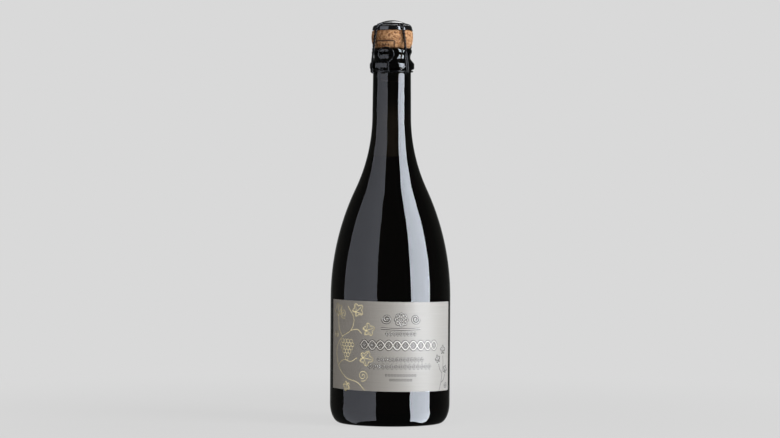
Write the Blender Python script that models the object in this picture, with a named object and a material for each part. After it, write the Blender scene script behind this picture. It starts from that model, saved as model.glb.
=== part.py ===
"""Sparkling wine bottle of 75 cl, with its wine, label, cork, wire cage and pull loop.

Lengths are in metres and angles in degrees. +Z points up. The origin is on the bottle's
axis, in the plane that it stands on. The front, with the label and the pull loop, faces -Y,
and an azimuth is counted from there, positive towards +X.
"""

import math

import bmesh
import bpy
from mathutils import Vector

# Clearances
SEAT_GAP = 0.0003            # between two pieces that rest on each other
CORK_PLAY = 0.0002           # between the cork's shank and the bore, all round
STRAND_GAP = 0.0002          # between the two strands of a twisted wire

# Glass, body and base
BODY_RADIUS = 0.0450
BODY_WALL = 0.0034
HEEL_WIDTH = 0.0077          # from the body's side in to the ring that it stands on
HEEL_HEIGHT = 0.0150
STANDING_WIDTH = 0.0023      # flat ring under the heel
PUNT_DEPTH = 0.0280          # hollow pushed up into the base
PUNT_WALL = 0.0050
FLOOR_HEIGHT = 0.0140        # where the inside leaves the wall for the valley round the punt
VALLEY_WIDTH = 0.0061
VALLEY_DEPTH = 0.0055

# Glass, shoulder and neck
SHOULDER_RISE = 0.1367       # from the body's upright side to the foot of the neck
SHOULDER_RADIUS = 0.1926     # the convex arc; the hollow one above it is worked out to meet it
NECK_LENGTH = 0.0505         # from its foot to the top of the glass
NECK_FOOT_RADIUS = 0.01452
NECK_TOP_RADIUS = 0.01420

# Glass, finish: the moulded mouth, measured down from its top
GLASS_HEIGHT = 0.2811
LIP_RADIUS = 0.01485
LIP_DEPTH = 0.0033
LIP_CROWN = 0.0020           # rounding of the lip's upper edge
LIP_ROUND = 0.0008
LIP_UNDERSIDE = 0.0018       # height of the slope from the lip in to the waist
WAIST_RADIUS = 0.0136
WAIST_LENGTH = 0.0045        # between the lip and the bead's slope
WAIST_ROUND = 0.0010
WAIST_HOLLOW = 0.0040        # where the waist turns out to the bead
BEAD_RADIUS = 0.0167         # the ring that the cage's belt grips under
BEAD_SLOPE = 0.0038          # height of the slope from the waist out to the bead
BEAD_BAND = 0.0038           # height of its upright side
BEAD_ROUND = 0.0010
BEAD_UNDERSIDE = 0.0013      # rise of its underside from the neck
BORE_RADIUS = 0.0090
BORE_LENGTH = 0.0300
BORE_ROUND = 0.0007

# Wine
FILL_DROP = 0.0815           # its level below the top of the glass

# Label, wrapped round the body
LABEL_WIDTH = 0.1122
LABEL_HEIGHT = 0.0662
LABEL_FOOT = 0.0265          # its lower edge above the ground
LABEL_THICKNESS = 0.00015
LABEL_AZIMUTH = 1.5          # of its middle

# Cork
CORK_RADIUS = 0.01565        # widest part of the head
CORK_HEAD = 0.0129           # height of the free head, from the lip to the cap's rim
CORK_DEPTH = 0.0241          # length inside the bore, with the two discs
DISC_THICKNESS = 0.0058
# The head's side, as shares of its height and of its widest radius, from the top down
CORK_SIDE_SHARES = (
    (0.97, 0.967), (0.81, 0.984), (0.65, 1.0), (0.48, 0.994),
    (0.33, 0.975), (0.21, 0.953), (0.10, 0.905), (0.0, 0.855),
)

# Cage cap, a pressed disc of tinplate
CAP_RADIUS = 0.0150
CAP_WALL = 0.00035
CAP_SKIRT = 0.00385          # from the ledge down to the rim
CAP_SHOULDER = 0.0143        # radius where the ledge turns down into the skirt
CAP_SHOULDER_ROUND = 0.0024
CAP_FOOT_ROUND = 0.0004
DOME_FOOT = 0.0103           # radius of the raised middle
DOME_RISE = 0.0037           # its height above the ledge
DOME_CURVE = 0.0220          # radius of its curve

# Cage wires
FRAME_WIRE = 0.00085         # diameter of the wire of the ring and the legs
LEG_TURNS = 4                # full turns of each leg's twist
CROWN_SPREAD = 0.0026        # between the strands where they leave the ring
DOUBLE_SPREAD = 0.0015       # between the strands below the twist
DOUBLE_LENGTH = 0.0135       # height of that stretch above the belt
HOOK_DEPTH = 0.0013          # of the leg's end below the belt's middle
HOOK_SWEEP = 75.0            # how far the leg's end goes round the belt
BELT_WIRE = 0.0011
BELT_RADIUS = 0.01535
BELT_DROP = 0.0020           # the belt's level below the bead's upright side
# Where a leg passes over the cap's bend: the angle there, and how far it has moved off for
# the twist, as a share
BEND_STATIONS = ((90, 0), (50, 0), (18, 0.5))
# Azimuth of each leg at the cap and at the belt
LEG_AZIMUTHS = {
    "leg_front_left": (-45.0, -61.5),
    "leg_front_right": (28.0, 41.5),
    "leg_back_right": (115.0, 140.0),
    "leg_back_left": (-140.0, -146.0),
}

# Pull loop, the belt's ends twisted together, turned up and opened to a ring
LOOP_WIRE = 0.00085
LOOP_AZIMUTH = -9.2
LOOP_CLEARANCE = 0.0006      # between the bead and the stem that stands before it
LOOP_TURNS = 2.5
STEM_LENGTH = 0.0066
RING_WIDTH = 0.0125          # over the wire
RING_HEIGHT = 0.0114
RING_SHIFT = 0.0016          # how far the ring's middle lies beside the stem, towards -X
RING_MOUTH = 24.0            # angle of the ring's gap above the stem
ROOT_TURNS = 0.75

# Fineness of the mesh
TURN_SIDES = 36
WIRE_ROUNDING = 1            # six sides
HELIX_STEPS = 8              # in a full turn of a strand
OUTSIDE_STEPS = 16           # of the shoulder's outer side
INSIDE_STEPS = 10            # of the shoulder's inner side, which glass and wine share
FLOOR_STEPS = 6              # of the valley and of the crown over the punt
HEEL_STEPS = 7
PUNT_STEPS = 8
DOME_STEPS = 5
FILLET_STEPS = 2
LABEL_COLUMNS = 30
BELT_STEPS = 42
RING_STEPS = 22              # of the pull loop's ring
ROOT_STEPS = 6
LOBE_ANGLE = 120.0           # of each strand's outer side in the root's section, either way
LOBE_STEPS = 4
PATH_STEPS = 12              # between two stations of a leg
CROWN_POINTS = 4             # of a strand on the ledge
DOUBLE_POINTS = 9            # of a strand below the twist
OPENING_POINTS = 3           # over which the strands part below the twist
BEND_STEPS = 4               # of the hook and of the bend that joins the strands
MERGE = 0.00005              # joins a turned outline's points on the axis

# Levels worked out from the sizes above
NECK_FOOT = GLASS_HEIGHT - NECK_LENGTH
SHOULDER_START = NECK_FOOT - SHOULDER_RISE
FILL_LEVEL = GLASS_HEIGHT - FILL_DROP
LIP_BOTTOM = GLASS_HEIGHT - LIP_DEPTH
SLOPE_TOP = LIP_BOTTOM - WAIST_LENGTH
BEAD_TOP = SLOPE_TOP - BEAD_SLOPE
BEAD_BOTTOM = BEAD_TOP - BEAD_BAND
BELT_LEVEL = BEAD_BOTTOM - BELT_DROP
CORK_SEAT = GLASS_HEIGHT + SEAT_GAP
CAP_RIM = CORK_SEAT + CORK_HEAD + SEAT_GAP
CAP_LEDGE = CAP_RIM + CAP_SKIRT
CAP_TOP = CAP_LEDGE + DOME_RISE
RING_RADIUS = DOME_FOOT + SEAT_GAP + FRAME_WIRE / 2
RING_LEVEL = CAP_LEDGE + SEAT_GAP + FRAME_WIRE / 2


def clear_scene():
    """Take everything out of the open file."""
    for thing in list(bpy.data.objects):
        bpy.data.objects.remove(thing, do_unlink=True)


def finish(name, colour, roughness, metallic=0.0):
    """A plain Principled material, with its colour as it looks on the object."""
    material = bpy.data.materials.new(name)
    material.use_nodes = True
    shader = material.node_tree.nodes["Principled BSDF"]
    shader.inputs["Base Color"].default_value = (*colour, 1.0)
    shader.inputs["Roughness"].default_value = roughness
    shader.inputs["Metallic"].default_value = metallic
    material.diffuse_color = (*colour, 1.0)
    return material


def add_object(name, data, material):
    """Put a mesh or curve in the scene under a name, with its material."""
    data.materials.append(material)
    thing = bpy.data.objects.new(name, data)
    bpy.context.collection.objects.link(thing)
    return thing


def add_pivot(name, place, azimuth=0.0, parent=None):
    """An empty on a joint's axis, turned about Z, that carries the pieces that move."""
    pivot = bpy.data.objects.new(name, None)
    bpy.context.collection.objects.link(pivot)
    pivot.location = place
    pivot.rotation_euler.z = math.radians(azimuth)
    pivot.empty_display_size = BODY_WALL
    if parent:
        carry(parent, pivot)
    return pivot


def carry(parent, *children):
    """Parent pieces that were modelled in world places, and leave them there."""
    bpy.context.view_layer.update()
    for child in children:
        child.parent = parent
        child.matrix_parent_inverse = parent.matrix_world.inverted()


def around(radius, azimuth, height):
    """The point at a radius, an azimuth in degrees and a height."""
    turn = math.radians(azimuth)
    return Vector((radius * math.sin(turn), -radius * math.cos(turn), height))


def ellipse(centre, wide, high, start, end, steps):
    """Points (radius, height) on an ellipse, from one angle in degrees to another."""
    points = []
    for step in range(steps + 1):
        angle = math.radians(start + (end - start) * step / steps)
        points.append((centre[0] + wide * math.cos(angle), centre[1] + high * math.sin(angle)))
    return points


def rounded(corners):
    """An outline through corners (radius, height, fillet), each turned into an arc."""
    points = []
    last = len(corners) - 1
    for index, (radius, height, fillet) in enumerate(corners):
        corner = Vector((radius, height))
        if index in (0, last) or not fillet:
            points.append(tuple(corner))
            continue
        back = (Vector(corners[index - 1][:2]) - corner).normalized()
        ahead = (Vector(corners[index + 1][:2]) - corner).normalized()
        half = back.angle(ahead) / 2
        reach = fillet / math.tan(half)
        middle = corner + (back + ahead).normalized() * fillet / math.sin(half)
        first = corner + back * reach - middle
        turn = first.angle_signed(corner + ahead * reach - middle)
        for step in range(FILLET_STEPS + 1):
            angle = -turn * step / FILLET_STEPS
            across = Vector((
                first.x * math.cos(angle) - first.y * math.sin(angle),
                first.x * math.sin(angle) + first.y * math.cos(angle),
            ))
            points.append(tuple(middle + across))
    return points


def inset(outline, depth):
    """The outline moved square to itself, to its right hand as it runs."""
    moved = []
    for index, point in enumerate(outline):
        before = Vector(outline[max(index - 1, 0)])
        after = Vector(outline[min(index + 1, len(outline) - 1)])
        here = Vector(point)
        into = (here - before).normalized() if index else (after - here).normalized()
        out_of = (after - here).normalized() if index < len(outline) - 1 else into
        normal = Vector((into.y + out_of.y, -into.x - out_of.x)).normalized()
        square = Vector((into.y, -into.x))
        moved.append(tuple(here + normal * depth / normal.dot(square)))
    return moved


def turned(name, outline, material):
    """A solid turned about Z from an outline that runs down its outer side."""
    mesh = bpy.data.meshes.new(name)
    edges = [(index, index + 1) for index in range(len(outline) - 1)]
    mesh.from_pydata([(radius, 0, height) for radius, height in outline], edges, [])
    thing = add_object(name, mesh, material)
    screw = thing.modifiers.new("Turn", "SCREW")
    screw.axis = "Z"
    screw.steps = TURN_SIDES
    screw.render_steps = TURN_SIDES
    screw.use_merge_vertices = True
    screw.merge_threshold = MERGE
    screw.use_smooth_shade = True
    return thing


def wire(name, points, diameter, material, closed=False):
    """One unbroken wire along its points."""
    curve = bpy.data.curves.new(name, "CURVE")
    curve.dimensions = "3D"
    curve.bevel_depth = diameter / 2
    curve.bevel_resolution = WIRE_ROUNDING
    curve.use_fill_caps = not closed
    spline = curve.splines.new("POLY")
    spline.points.add(len(points) - 1)
    for slot, point in zip(spline.points, points):
        slot.co = (*point, 1.0)
    spline.use_cyclic_u = closed
    spline.use_smooth = True
    return add_object(name, curve, material)


def smooth_path(stations, steps):
    """A curve through stations (radius, height), as points a steady step apart."""
    knots = [Vector(station) for station in stations]
    knots = [knots[0] * 2 - knots[1], *knots, knots[-1] * 2 - knots[-2]]
    fine = []
    for first, second, third, fourth in zip(knots, knots[1:], knots[2:], knots[3:]):
        for step in range(steps):
            share = step / steps
            fine.append(0.5 * (
                2 * second + (third - first) * share
                + (2 * first - 5 * second + 4 * third - fourth) * share ** 2
                + (3 * second - first - 3 * third + fourth) * share ** 3
            ))
    fine.append(knots[-2])
    return fine


def even_points(path, count):
    """Points at equal distances along a fine path, both ends among them."""
    lengths = [0.0]
    for before, after in zip(path, path[1:]):
        lengths.append(lengths[-1] + (after - before).length)
    points = []
    index = 0
    for step in range(count + 1):
        target = lengths[-1] * step / count
        while index < len(path) - 2 and lengths[index + 1] < target:
            index += 1
        span = lengths[index + 1] - lengths[index]
        points.append(path[index].lerp(path[index + 1], (target - lengths[index]) / span))
    return points


def shoulder_radius(height, depth):
    """Radius of the shoulder at a height, at a depth under its outer surface."""
    narrowing = BODY_RADIUS - NECK_FOOT_RADIUS
    rise = NECK_FOOT - SHOULDER_START
    both_radii = (narrowing ** 2 + rise ** 2) / (2 * narrowing)
    hollow = both_radii - SHOULDER_RADIUS
    meeting = SHOULDER_START + (SHOULDER_RADIUS - depth) * rise / both_radii
    if height > meeting:
        reach = math.sqrt((hollow + depth) ** 2 - (NECK_FOOT - height) ** 2)
        return NECK_FOOT_RADIUS + hollow - reach
    reach = math.sqrt((SHOULDER_RADIUS - depth) ** 2 - (height - SHOULDER_START) ** 2)
    return BODY_RADIUS - SHOULDER_RADIUS + reach


def shoulder(depth, top, steps):
    """The shoulder's outline at even levels from a top down to the body, at a depth."""
    points = [(shoulder_radius(top, depth), top)]
    for step in range(1, steps + 1):
        height = NECK_FOOT + (SHOULDER_START - NECK_FOOT) * step / steps
        if height < top:
            points.append((shoulder_radius(height, depth), height))
    return points


def floor_outline(gap):
    """The inside of the base from the wall, down the valley and over the punt to the axis."""
    wall = BODY_RADIUS - BODY_WALL
    half = VALLEY_WIDTH / 2
    valley = ellipse((wall - half, FLOOR_HEIGHT), half - gap, VALLEY_DEPTH - gap, 0, -180, FLOOR_STEPS)
    crown = ellipse(
        (0, FLOOR_HEIGHT), wall - VALLEY_WIDTH + gap,
        PUNT_DEPTH + PUNT_WALL - FLOOR_HEIGHT + gap, 0, 90, FLOOR_STEPS,
    )
    crown[-1] = (0, crown[-1][1])
    return valley + crown[1:]


def build_bottle():
    """Glass: the inside from the base up, over the lip, then down the outside to the punt."""
    inside = floor_outline(0)[::-1] + shoulder(BODY_WALL, NECK_FOOT, INSIDE_STEPS)[::-1]
    inside.append((BORE_RADIUS, GLASS_HEIGHT - BORE_LENGTH))
    mouth = rounded([
        (BORE_RADIUS, LIP_BOTTOM, 0),
        (BORE_RADIUS, GLASS_HEIGHT, BORE_ROUND),
        (LIP_RADIUS, GLASS_HEIGHT, LIP_CROWN),
        (LIP_RADIUS, LIP_BOTTOM, LIP_ROUND),
        (WAIST_RADIUS, LIP_BOTTOM - LIP_UNDERSIDE, WAIST_ROUND),
        (WAIST_RADIUS, SLOPE_TOP, WAIST_HOLLOW),
        (BEAD_RADIUS, BEAD_TOP, BEAD_ROUND),
        (BEAD_RADIUS, BEAD_BOTTOM, BEAD_ROUND),
        (NECK_TOP_RADIUS, BEAD_BOTTOM - BEAD_UNDERSIDE, WAIST_ROUND),
        (NECK_FOOT_RADIUS, NECK_FOOT, 0),
    ])
    heel_inner = BODY_RADIUS - HEEL_WIDTH
    heel = ellipse((heel_inner, HEEL_HEIGHT), HEEL_WIDTH, HEEL_HEIGHT, 0, -90, HEEL_STEPS)
    punt = ellipse((0, 0), heel_inner - STANDING_WIDTH, PUNT_DEPTH, 0, 90, PUNT_STEPS)
    punt[-1] = (0, PUNT_DEPTH)
    outside = shoulder(0, NECK_FOOT, OUTSIDE_STEPS)[1:] + heel + punt
    dark_glass = finish("dark_green_glass", (0.02, 0.03, 0.02), 0.06)
    return turned("glass_bottle", inside + mouth[1:] + outside, dark_glass)


def build_wine():
    """Wine that fills the inside up to its level in the shoulder."""
    side = shoulder(BODY_WALL + SEAT_GAP, FILL_LEVEL, INSIDE_STEPS)
    outline = [(0, FILL_LEVEL)] + side + floor_outline(SEAT_GAP)
    return turned("wine", outline, finish("wine", (0.045, 0.008, 0.012), 0.1))


def build_label():
    """Label: a thin sheet bent round the body."""
    inner = BODY_RADIUS + SEAT_GAP
    outer = inner + LABEL_THICKNESS
    span = math.degrees(LABEL_WIDTH / outer)
    mesh = bmesh.new()
    rows = []
    for column in range(LABEL_COLUMNS + 1):
        azimuth = LABEL_AZIMUTH + span * (column / LABEL_COLUMNS - 0.5)
        corners = (
            (inner, LABEL_FOOT), (outer, LABEL_FOOT),
            (outer, LABEL_FOOT + LABEL_HEIGHT), (inner, LABEL_FOOT + LABEL_HEIGHT),
        )
        rows.append([mesh.verts.new(around(radius, azimuth, z)) for radius, z in corners])
    for here, ahead in zip(rows, rows[1:]):
        for side in range(4):
            following = (side + 1) % 4
            mesh.faces.new((here[side], ahead[side], ahead[following], here[following]))
    mesh.faces.new(rows[0])
    mesh.faces.new(rows[-1][::-1])
    bmesh.ops.recalc_face_normals(mesh, faces=mesh.faces)
    data = bpy.data.meshes.new("front_label")
    mesh.to_mesh(data)
    mesh.free()
    return add_object("front_label", data, finish("label", (0.45, 0.44, 0.42), 0.45))


def build_cork():
    """Cork: the mushroom head and shank of pressed granules, and two discs of solid cork."""
    granules = finish("cork", (0.55, 0.36, 0.19), 0.85)
    shank = BORE_RADIUS - CORK_PLAY
    top = CAP_LEDGE - CAP_WALL - SEAT_GAP
    shell = CAP_WALL + SEAT_GAP
    disc_pitch = DISC_THICKNESS + SEAT_GAP
    bottom = GLASS_HEIGHT - CORK_DEPTH
    side = [
        (CORK_RADIUS * wide, CORK_SEAT + CORK_HEAD * high) for high, wide in CORK_SIDE_SHARES
    ]
    crown = rounded([
        (0, top, 0),
        (CAP_SHOULDER - shell, top, CAP_SHOULDER_ROUND - shell),
        (CAP_RADIUS - 2 * shell, CORK_SEAT + CORK_HEAD, 0),
    ])
    outline = crown + side + [
        (shank, CORK_SEAT), (shank, bottom + 2 * disc_pitch), (0, bottom + 2 * disc_pitch),
    ]
    pieces = [turned("cork_body", outline, granules)]
    for name, foot in (("cork_disc_upper", bottom + disc_pitch), ("cork_disc_lower", bottom)):
        head = foot + DISC_THICKNESS
        disc = [(0, head), (shank, head), (shank, foot), (0, foot)]
        pieces.append(turned(name, disc, finish(name, (0.62, 0.43, 0.25), 0.8)))
    return pieces


def build_cap():
    """Cap: a domed disc with a ledge for the ring wire and a flared skirt, pressed thin."""
    dome = []
    for step in range(DOME_STEPS + 1):
        radius = (DOME_FOOT - CAP_FOOT_ROUND) * step / DOME_STEPS
        dome.append((radius, CAP_TOP - DOME_CURVE + math.sqrt(DOME_CURVE ** 2 - radius ** 2)))
    ledge = rounded([
        (*dome[-1], 0),
        (DOME_FOOT, CAP_LEDGE, CAP_FOOT_ROUND),
        (CAP_SHOULDER, CAP_LEDGE, CAP_SHOULDER_ROUND),
        (CAP_RADIUS, CAP_RIM, 0),
    ])
    outer = dome + ledge[1:]
    inner = inset(outer, CAP_WALL)[::-1]
    inner[-1] = (0, CAP_TOP - CAP_WALL)
    black_plate = finish("lacquered_tinplate", (0.012, 0.012, 0.014), 0.2, 0.3)
    return turned("cage_cap", outer + inner, black_plate)


def leg_centre():
    """The middle of a leg's two strands, as (radius, height) from the ring to the belt."""
    strand = FRAME_WIRE / 2
    lean = SEAT_GAP + FRAME_WIRE + STRAND_GAP / 2
    flat = SEAT_GAP + strand
    skirt = Vector((CAP_RADIUS - CAP_SHOULDER, -CAP_SKIRT)).normalized()
    bend = CAP_SHOULDER + CAP_SHOULDER_ROUND * (1 - skirt.x) / skirt.y
    over_bend = []
    for angle, away in BEND_STATIONS:
        turn = math.radians(angle)
        clear = CAP_SHOULDER_ROUND + flat + (lean - flat) * away
        over_bend.append((
            bend + clear * math.cos(turn), CAP_LEDGE - CAP_SHOULDER_ROUND + clear * math.sin(turn),
        ))
    widest = CORK_SEAT + CORK_HEAD * CORK_SIDE_SHARES[2][0]
    stations = [
        (RING_RADIUS + strand + SEAT_GAP, RING_LEVEL),
        *over_bend,
        (CAP_RADIUS - lean * skirt.y, CAP_RIM + lean * skirt.x),
        (CORK_RADIUS + lean, widest),
        (BEAD_RADIUS + flat, BEAD_TOP),
        (BEAD_RADIUS + flat, BEAD_BOTTOM),
        (BEAD_RADIUS + flat, BELT_LEVEL),
    ]
    reach = BEAD_RADIUS + flat - BELT_RADIUS
    hook = ellipse((BELT_RADIUS, BELT_LEVEL), reach, HOOK_DEPTH, 0, -HOOK_SWEEP, BEND_STEPS)
    return smooth_path(stations, PATH_STEPS) + [Vector(point) for point in hook[1:]]


def build_leg(name, black_wire):
    """A leg: one wire bent double, its strands twisted over the cork and open at the belt."""
    at_cap, at_belt = LEG_AZIMUTHS[name]
    path = leg_centre()
    start = next(i for i, point in enumerate(path) if point.y < CAP_RIM + CAP_SKIRT / 2)
    split = next(i for i, point in enumerate(path) if point.y < BELT_LEVEL + DOUBLE_LENGTH)
    crown = even_points(path[:start + 1], CROWN_POINTS)[:-1]
    twisted = even_points(path[start:split + 1], LEG_TURNS * HELIX_STEPS)
    centre = crown + twisted + even_points(path[split:], DOUBLE_POINTS)[1:]
    close = (FRAME_WIRE + STRAND_GAP) / 2
    strands = ([], [])
    for index, point in enumerate(centre):
        before = centre[max(index - 1, 0)]
        after = centre[min(index + 1, len(centre) - 1)]
        along = (after - before).normalized()
        progress = (index - len(crown)) / (len(twisted) - 1)
        turn = 2 * math.pi * LEG_TURNS * min(max(progress, 0), 1)
        spread = max(0, 1 - index / len(crown)) ** 2
        below = index - len(crown) - len(twisted) + 1
        opening = min(max(below, 0) / OPENING_POINTS, 1)
        apart = close + (CROWN_SPREAD / 2 - close) * spread
        apart += (DOUBLE_SPREAD / 2 - close) * opening
        azimuth = at_cap + (at_belt - at_cap) * (RING_LEVEL - point.y) / (RING_LEVEL - BELT_LEVEL)
        sideways = around(1, azimuth + 90, 0)
        outwards = around(-along.y, azimuth, along.x)
        offset = apart * (math.cos(turn) * sideways + math.sin(turn) * outwards)
        middle = around(point.x, azimuth, point.y)
        strands[0].append(middle + offset)
        strands[1].append(middle - offset)
    onwards = around(along.x, azimuth, along.y)
    bend = []
    for step in range(1, BEND_STEPS):
        angle = math.pi * step / BEND_STEPS
        bend.append(middle + apart * (math.cos(angle) * sideways + math.sin(angle) * onwards))
    return wire(name, strands[0] + bend + strands[1][::-1], FRAME_WIRE, black_wire)


def build_belt(black_wire):
    """Belt: a wire round the neck under the bead, open where its ends are twisted together."""
    opening = math.degrees((LOOP_WIRE + STRAND_GAP / 2 + SEAT_GAP) / BELT_RADIUS)
    points = []
    for step in range(BELT_STEPS + 1):
        azimuth = LOOP_AZIMUTH + opening + (360 - 2 * opening) * step / BELT_STEPS
        points.append(around(BELT_RADIUS, azimuth, BELT_LEVEL))
    return wire("cage_belt", points, BELT_WIRE, black_wire)


def stem_radius():
    """Distance from the bottle's axis to the pull loop's stem."""
    return BEAD_RADIUS + LOOP_CLEARANCE + LOOP_WIRE + STRAND_GAP / 2


def build_root(black_wire):
    """Root of the pull loop: the short twist that leads out from under the bead."""
    reach = LOOP_WIRE + STRAND_GAP / 2
    start = BELT_RADIUS - BELT_WIRE / 2
    length = stem_radius() - reach - SEAT_GAP - start
    strand = (LOOP_WIRE + STRAND_GAP) / 2
    lobe = ellipse((strand, 0), LOOP_WIRE / 2, LOOP_WIRE / 2, -LOBE_ANGLE, LOBE_ANGLE, LOBE_STEPS)
    section = lobe + [(-across, -rise) for across, rise in lobe]
    mesh = bmesh.new()
    rings = []
    for step in range(ROOT_STEPS + 1):
        turn = 2 * math.pi * ROOT_TURNS * step / ROOT_STEPS
        out = around(start + length * step / ROOT_STEPS, LOOP_AZIMUTH, BELT_LEVEL)
        ring = []
        for across, rise in section:
            sideways = around(across * math.cos(turn) - rise * math.sin(turn), LOOP_AZIMUTH + 90, 0)
            up = Vector((0, 0, across * math.sin(turn) + rise * math.cos(turn)))
            ring.append(mesh.verts.new(out + sideways + up))
        rings.append(ring)
    for here, ahead in zip(rings, rings[1:]):
        for side in range(len(section)):
            following = (side + 1) % len(section)
            mesh.faces.new((here[side], ahead[side], ahead[following], here[following]))
    mesh.faces.new(rings[0])
    mesh.faces.new(rings[-1][::-1])
    bmesh.ops.triangulate(mesh, faces=mesh.faces)
    bmesh.ops.recalc_face_normals(mesh, faces=mesh.faces)
    data = bpy.data.meshes.new("tie_root")
    mesh.to_mesh(data)
    mesh.free()
    data.shade_smooth()
    return add_object("tie_root", data, black_wire)


def build_loop(black_wire):
    """Pull loop: one wire, twisted up the stem, round the ring and down the stem again.

    It is modelled before its pivot: X runs along the neck's tangent, Z up the stem.
    """
    strand = (LOOP_WIRE + STRAND_GAP) / 2
    steps = round(LOOP_TURNS * HELIX_STEPS)
    up = []
    for step in range(steps + 1):
        share = step / steps
        turn = 2 * math.pi * LOOP_TURNS * (share - 1)
        up.append(Vector((
            strand * math.cos(turn), strand * math.sin(turn), STEM_LENGTH * share,
        )))
    down = [Vector((-point.x, -point.y, point.z)) for point in reversed(up)]
    wide = (RING_WIDTH - LOOP_WIRE) / 2
    high = (RING_HEIGHT - LOOP_WIRE) / 2
    mouth = math.degrees(math.asin(RING_SHIFT / wide)) - 90
    middle = STEM_LENGTH + LOOP_WIRE / 2 + high
    first = mouth + RING_MOUTH / 2
    last = mouth + 360 - RING_MOUTH / 2
    ring = ellipse((-RING_SHIFT, middle), wide, high, first, last, RING_STEPS)
    return wire("pull_loop", up + [Vector((x, 0, z)) for x, z in ring] + down, LOOP_WIRE, black_wire)


def build_cage():
    """Cage: the cap, its ring wire, four legs and the belt."""
    black_wire = finish("lacquered_wire", (0.015, 0.015, 0.016), 0.25, 0.5)
    turn = 360 / TURN_SIDES
    circle = [around(RING_RADIUS, turn * step, RING_LEVEL) for step in range(TURN_SIDES)]
    ring = wire("cage_top_ring", circle, FRAME_WIRE, black_wire, closed=True)
    legs = [build_leg(name, black_wire) for name in LEG_AZIMUTHS]
    return black_wire, [build_cap(), ring, *legs, build_belt(black_wire)]


def build():
    """All the pieces, each carried by the body that it moves with."""
    clear_scene()
    build_bottle()
    build_wine()
    build_label()
    cork_slide = add_pivot("cork_slide", (0, 0, GLASS_HEIGHT))
    carry(cork_slide, *build_cork())
    cage_slide = add_pivot("cage_slide", (0, 0, CAP_RIM), parent=cork_slide)
    black_wire, cage = build_cage()
    carry(cage_slide, *cage)
    out = stem_radius()
    tie_pivot = add_pivot(
        "tie_pivot", around(out, LOOP_AZIMUTH, BELT_LEVEL), LOOP_AZIMUTH, cage_slide,
    )
    carry(tie_pivot, build_root(black_wire))
    loop_pivot = add_pivot(
        "loop_pivot", around(out, LOOP_AZIMUTH, BELT_LEVEL), LOOP_AZIMUTH, tie_pivot,
    )
    loop = build_loop(black_wire)
    loop.parent = loop_pivot


build()
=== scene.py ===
# %% [markdown]
# # A sparkling wine bottle with its cork and wire cage
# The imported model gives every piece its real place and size, as plain facets. This notebook
# gives each of them its fine surface: dark glass over wine, a metallised paper label with
# foil and relief, granulated cork, and a cage of black lacquered wire and tinplate. Lengths
# are in metres, angles in degrees. The label faces -Y, and an azimuth counts from there.

# %% Load the model
import math

import bmesh
import bpy
from mathutils import Matrix, Vector, noise


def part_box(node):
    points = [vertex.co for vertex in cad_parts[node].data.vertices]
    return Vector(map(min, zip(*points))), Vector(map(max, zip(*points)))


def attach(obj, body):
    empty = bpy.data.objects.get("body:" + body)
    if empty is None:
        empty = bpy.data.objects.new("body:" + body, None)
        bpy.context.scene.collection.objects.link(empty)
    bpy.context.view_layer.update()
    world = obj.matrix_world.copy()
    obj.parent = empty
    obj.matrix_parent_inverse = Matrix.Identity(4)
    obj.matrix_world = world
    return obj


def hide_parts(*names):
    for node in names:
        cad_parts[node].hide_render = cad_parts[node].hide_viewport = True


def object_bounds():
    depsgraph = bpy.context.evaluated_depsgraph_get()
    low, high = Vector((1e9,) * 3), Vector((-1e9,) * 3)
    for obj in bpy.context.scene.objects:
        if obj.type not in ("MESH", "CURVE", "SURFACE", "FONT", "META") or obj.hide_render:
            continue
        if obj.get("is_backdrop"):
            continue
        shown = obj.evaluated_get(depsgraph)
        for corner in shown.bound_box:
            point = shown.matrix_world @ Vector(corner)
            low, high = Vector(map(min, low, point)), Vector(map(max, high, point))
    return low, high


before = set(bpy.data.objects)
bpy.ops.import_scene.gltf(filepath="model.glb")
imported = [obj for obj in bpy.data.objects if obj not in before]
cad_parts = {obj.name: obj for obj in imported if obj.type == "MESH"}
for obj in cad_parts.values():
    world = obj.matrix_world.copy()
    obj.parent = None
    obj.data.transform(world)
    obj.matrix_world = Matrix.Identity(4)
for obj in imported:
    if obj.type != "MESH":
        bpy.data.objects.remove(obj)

cad_low, cad_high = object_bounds()
print("model box", tuple(cad_low), tuple(cad_high))

# %% [markdown]
# A few helpers serve the whole notebook. Colours are written as the hex codes that a colour
# picker shows, and shaders count in linear light, so the first one converts. The next adds a
# node, sets its options and feeds its sockets from values or other nodes. The others start a
# material, make a finish a little uneven, put an object into the scene, and give a finished
# piece its place in the model.

# %% Colours, nodes and pieces
MM = 0.001


def hex_colour(code):
    """A hex code, as a screen shows it, in linear light."""
    parts = [int(code[place:place + 2], 16) / 255 for place in (1, 3, 5)]
    linear = [part / 12.92 if part <= 0.04045 else ((part + 0.055) / 1.055) ** 2.4 for part in parts]
    return (*linear, 1.0)


def add(tree, kind, inputs=(), stops=(), to=None, **settings):
    """Add a node; inputs maps a socket's name or number to a value, a socket or a node.

    The stops of a colour ramp are pairs of a position and a hex code, from low to high. The
    socket in to is fed by the node's first output.
    """
    made = tree.nodes.new(kind)
    for name, value in settings.items():
        setattr(made, name, value)
    for name, value in dict(inputs).items():
        if isinstance(value, bpy.types.Node):
            value = value.outputs[0]
        if isinstance(value, bpy.types.NodeSocket):
            tree.links.new(value, made.inputs[name])
        else:
            made.inputs[name].default_value = value
    for _ in stops[2:]:          # a new ramp has two stops already
        made.color_ramp.elements.new(0.5)
    for index, (position, code) in enumerate(stops):
        made.color_ramp.elements[index].position = position
        made.color_ramp.elements[index].color = hex_colour(code)
    if to is not None:
        tree.links.new(made.outputs[0], to)
    return made


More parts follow.
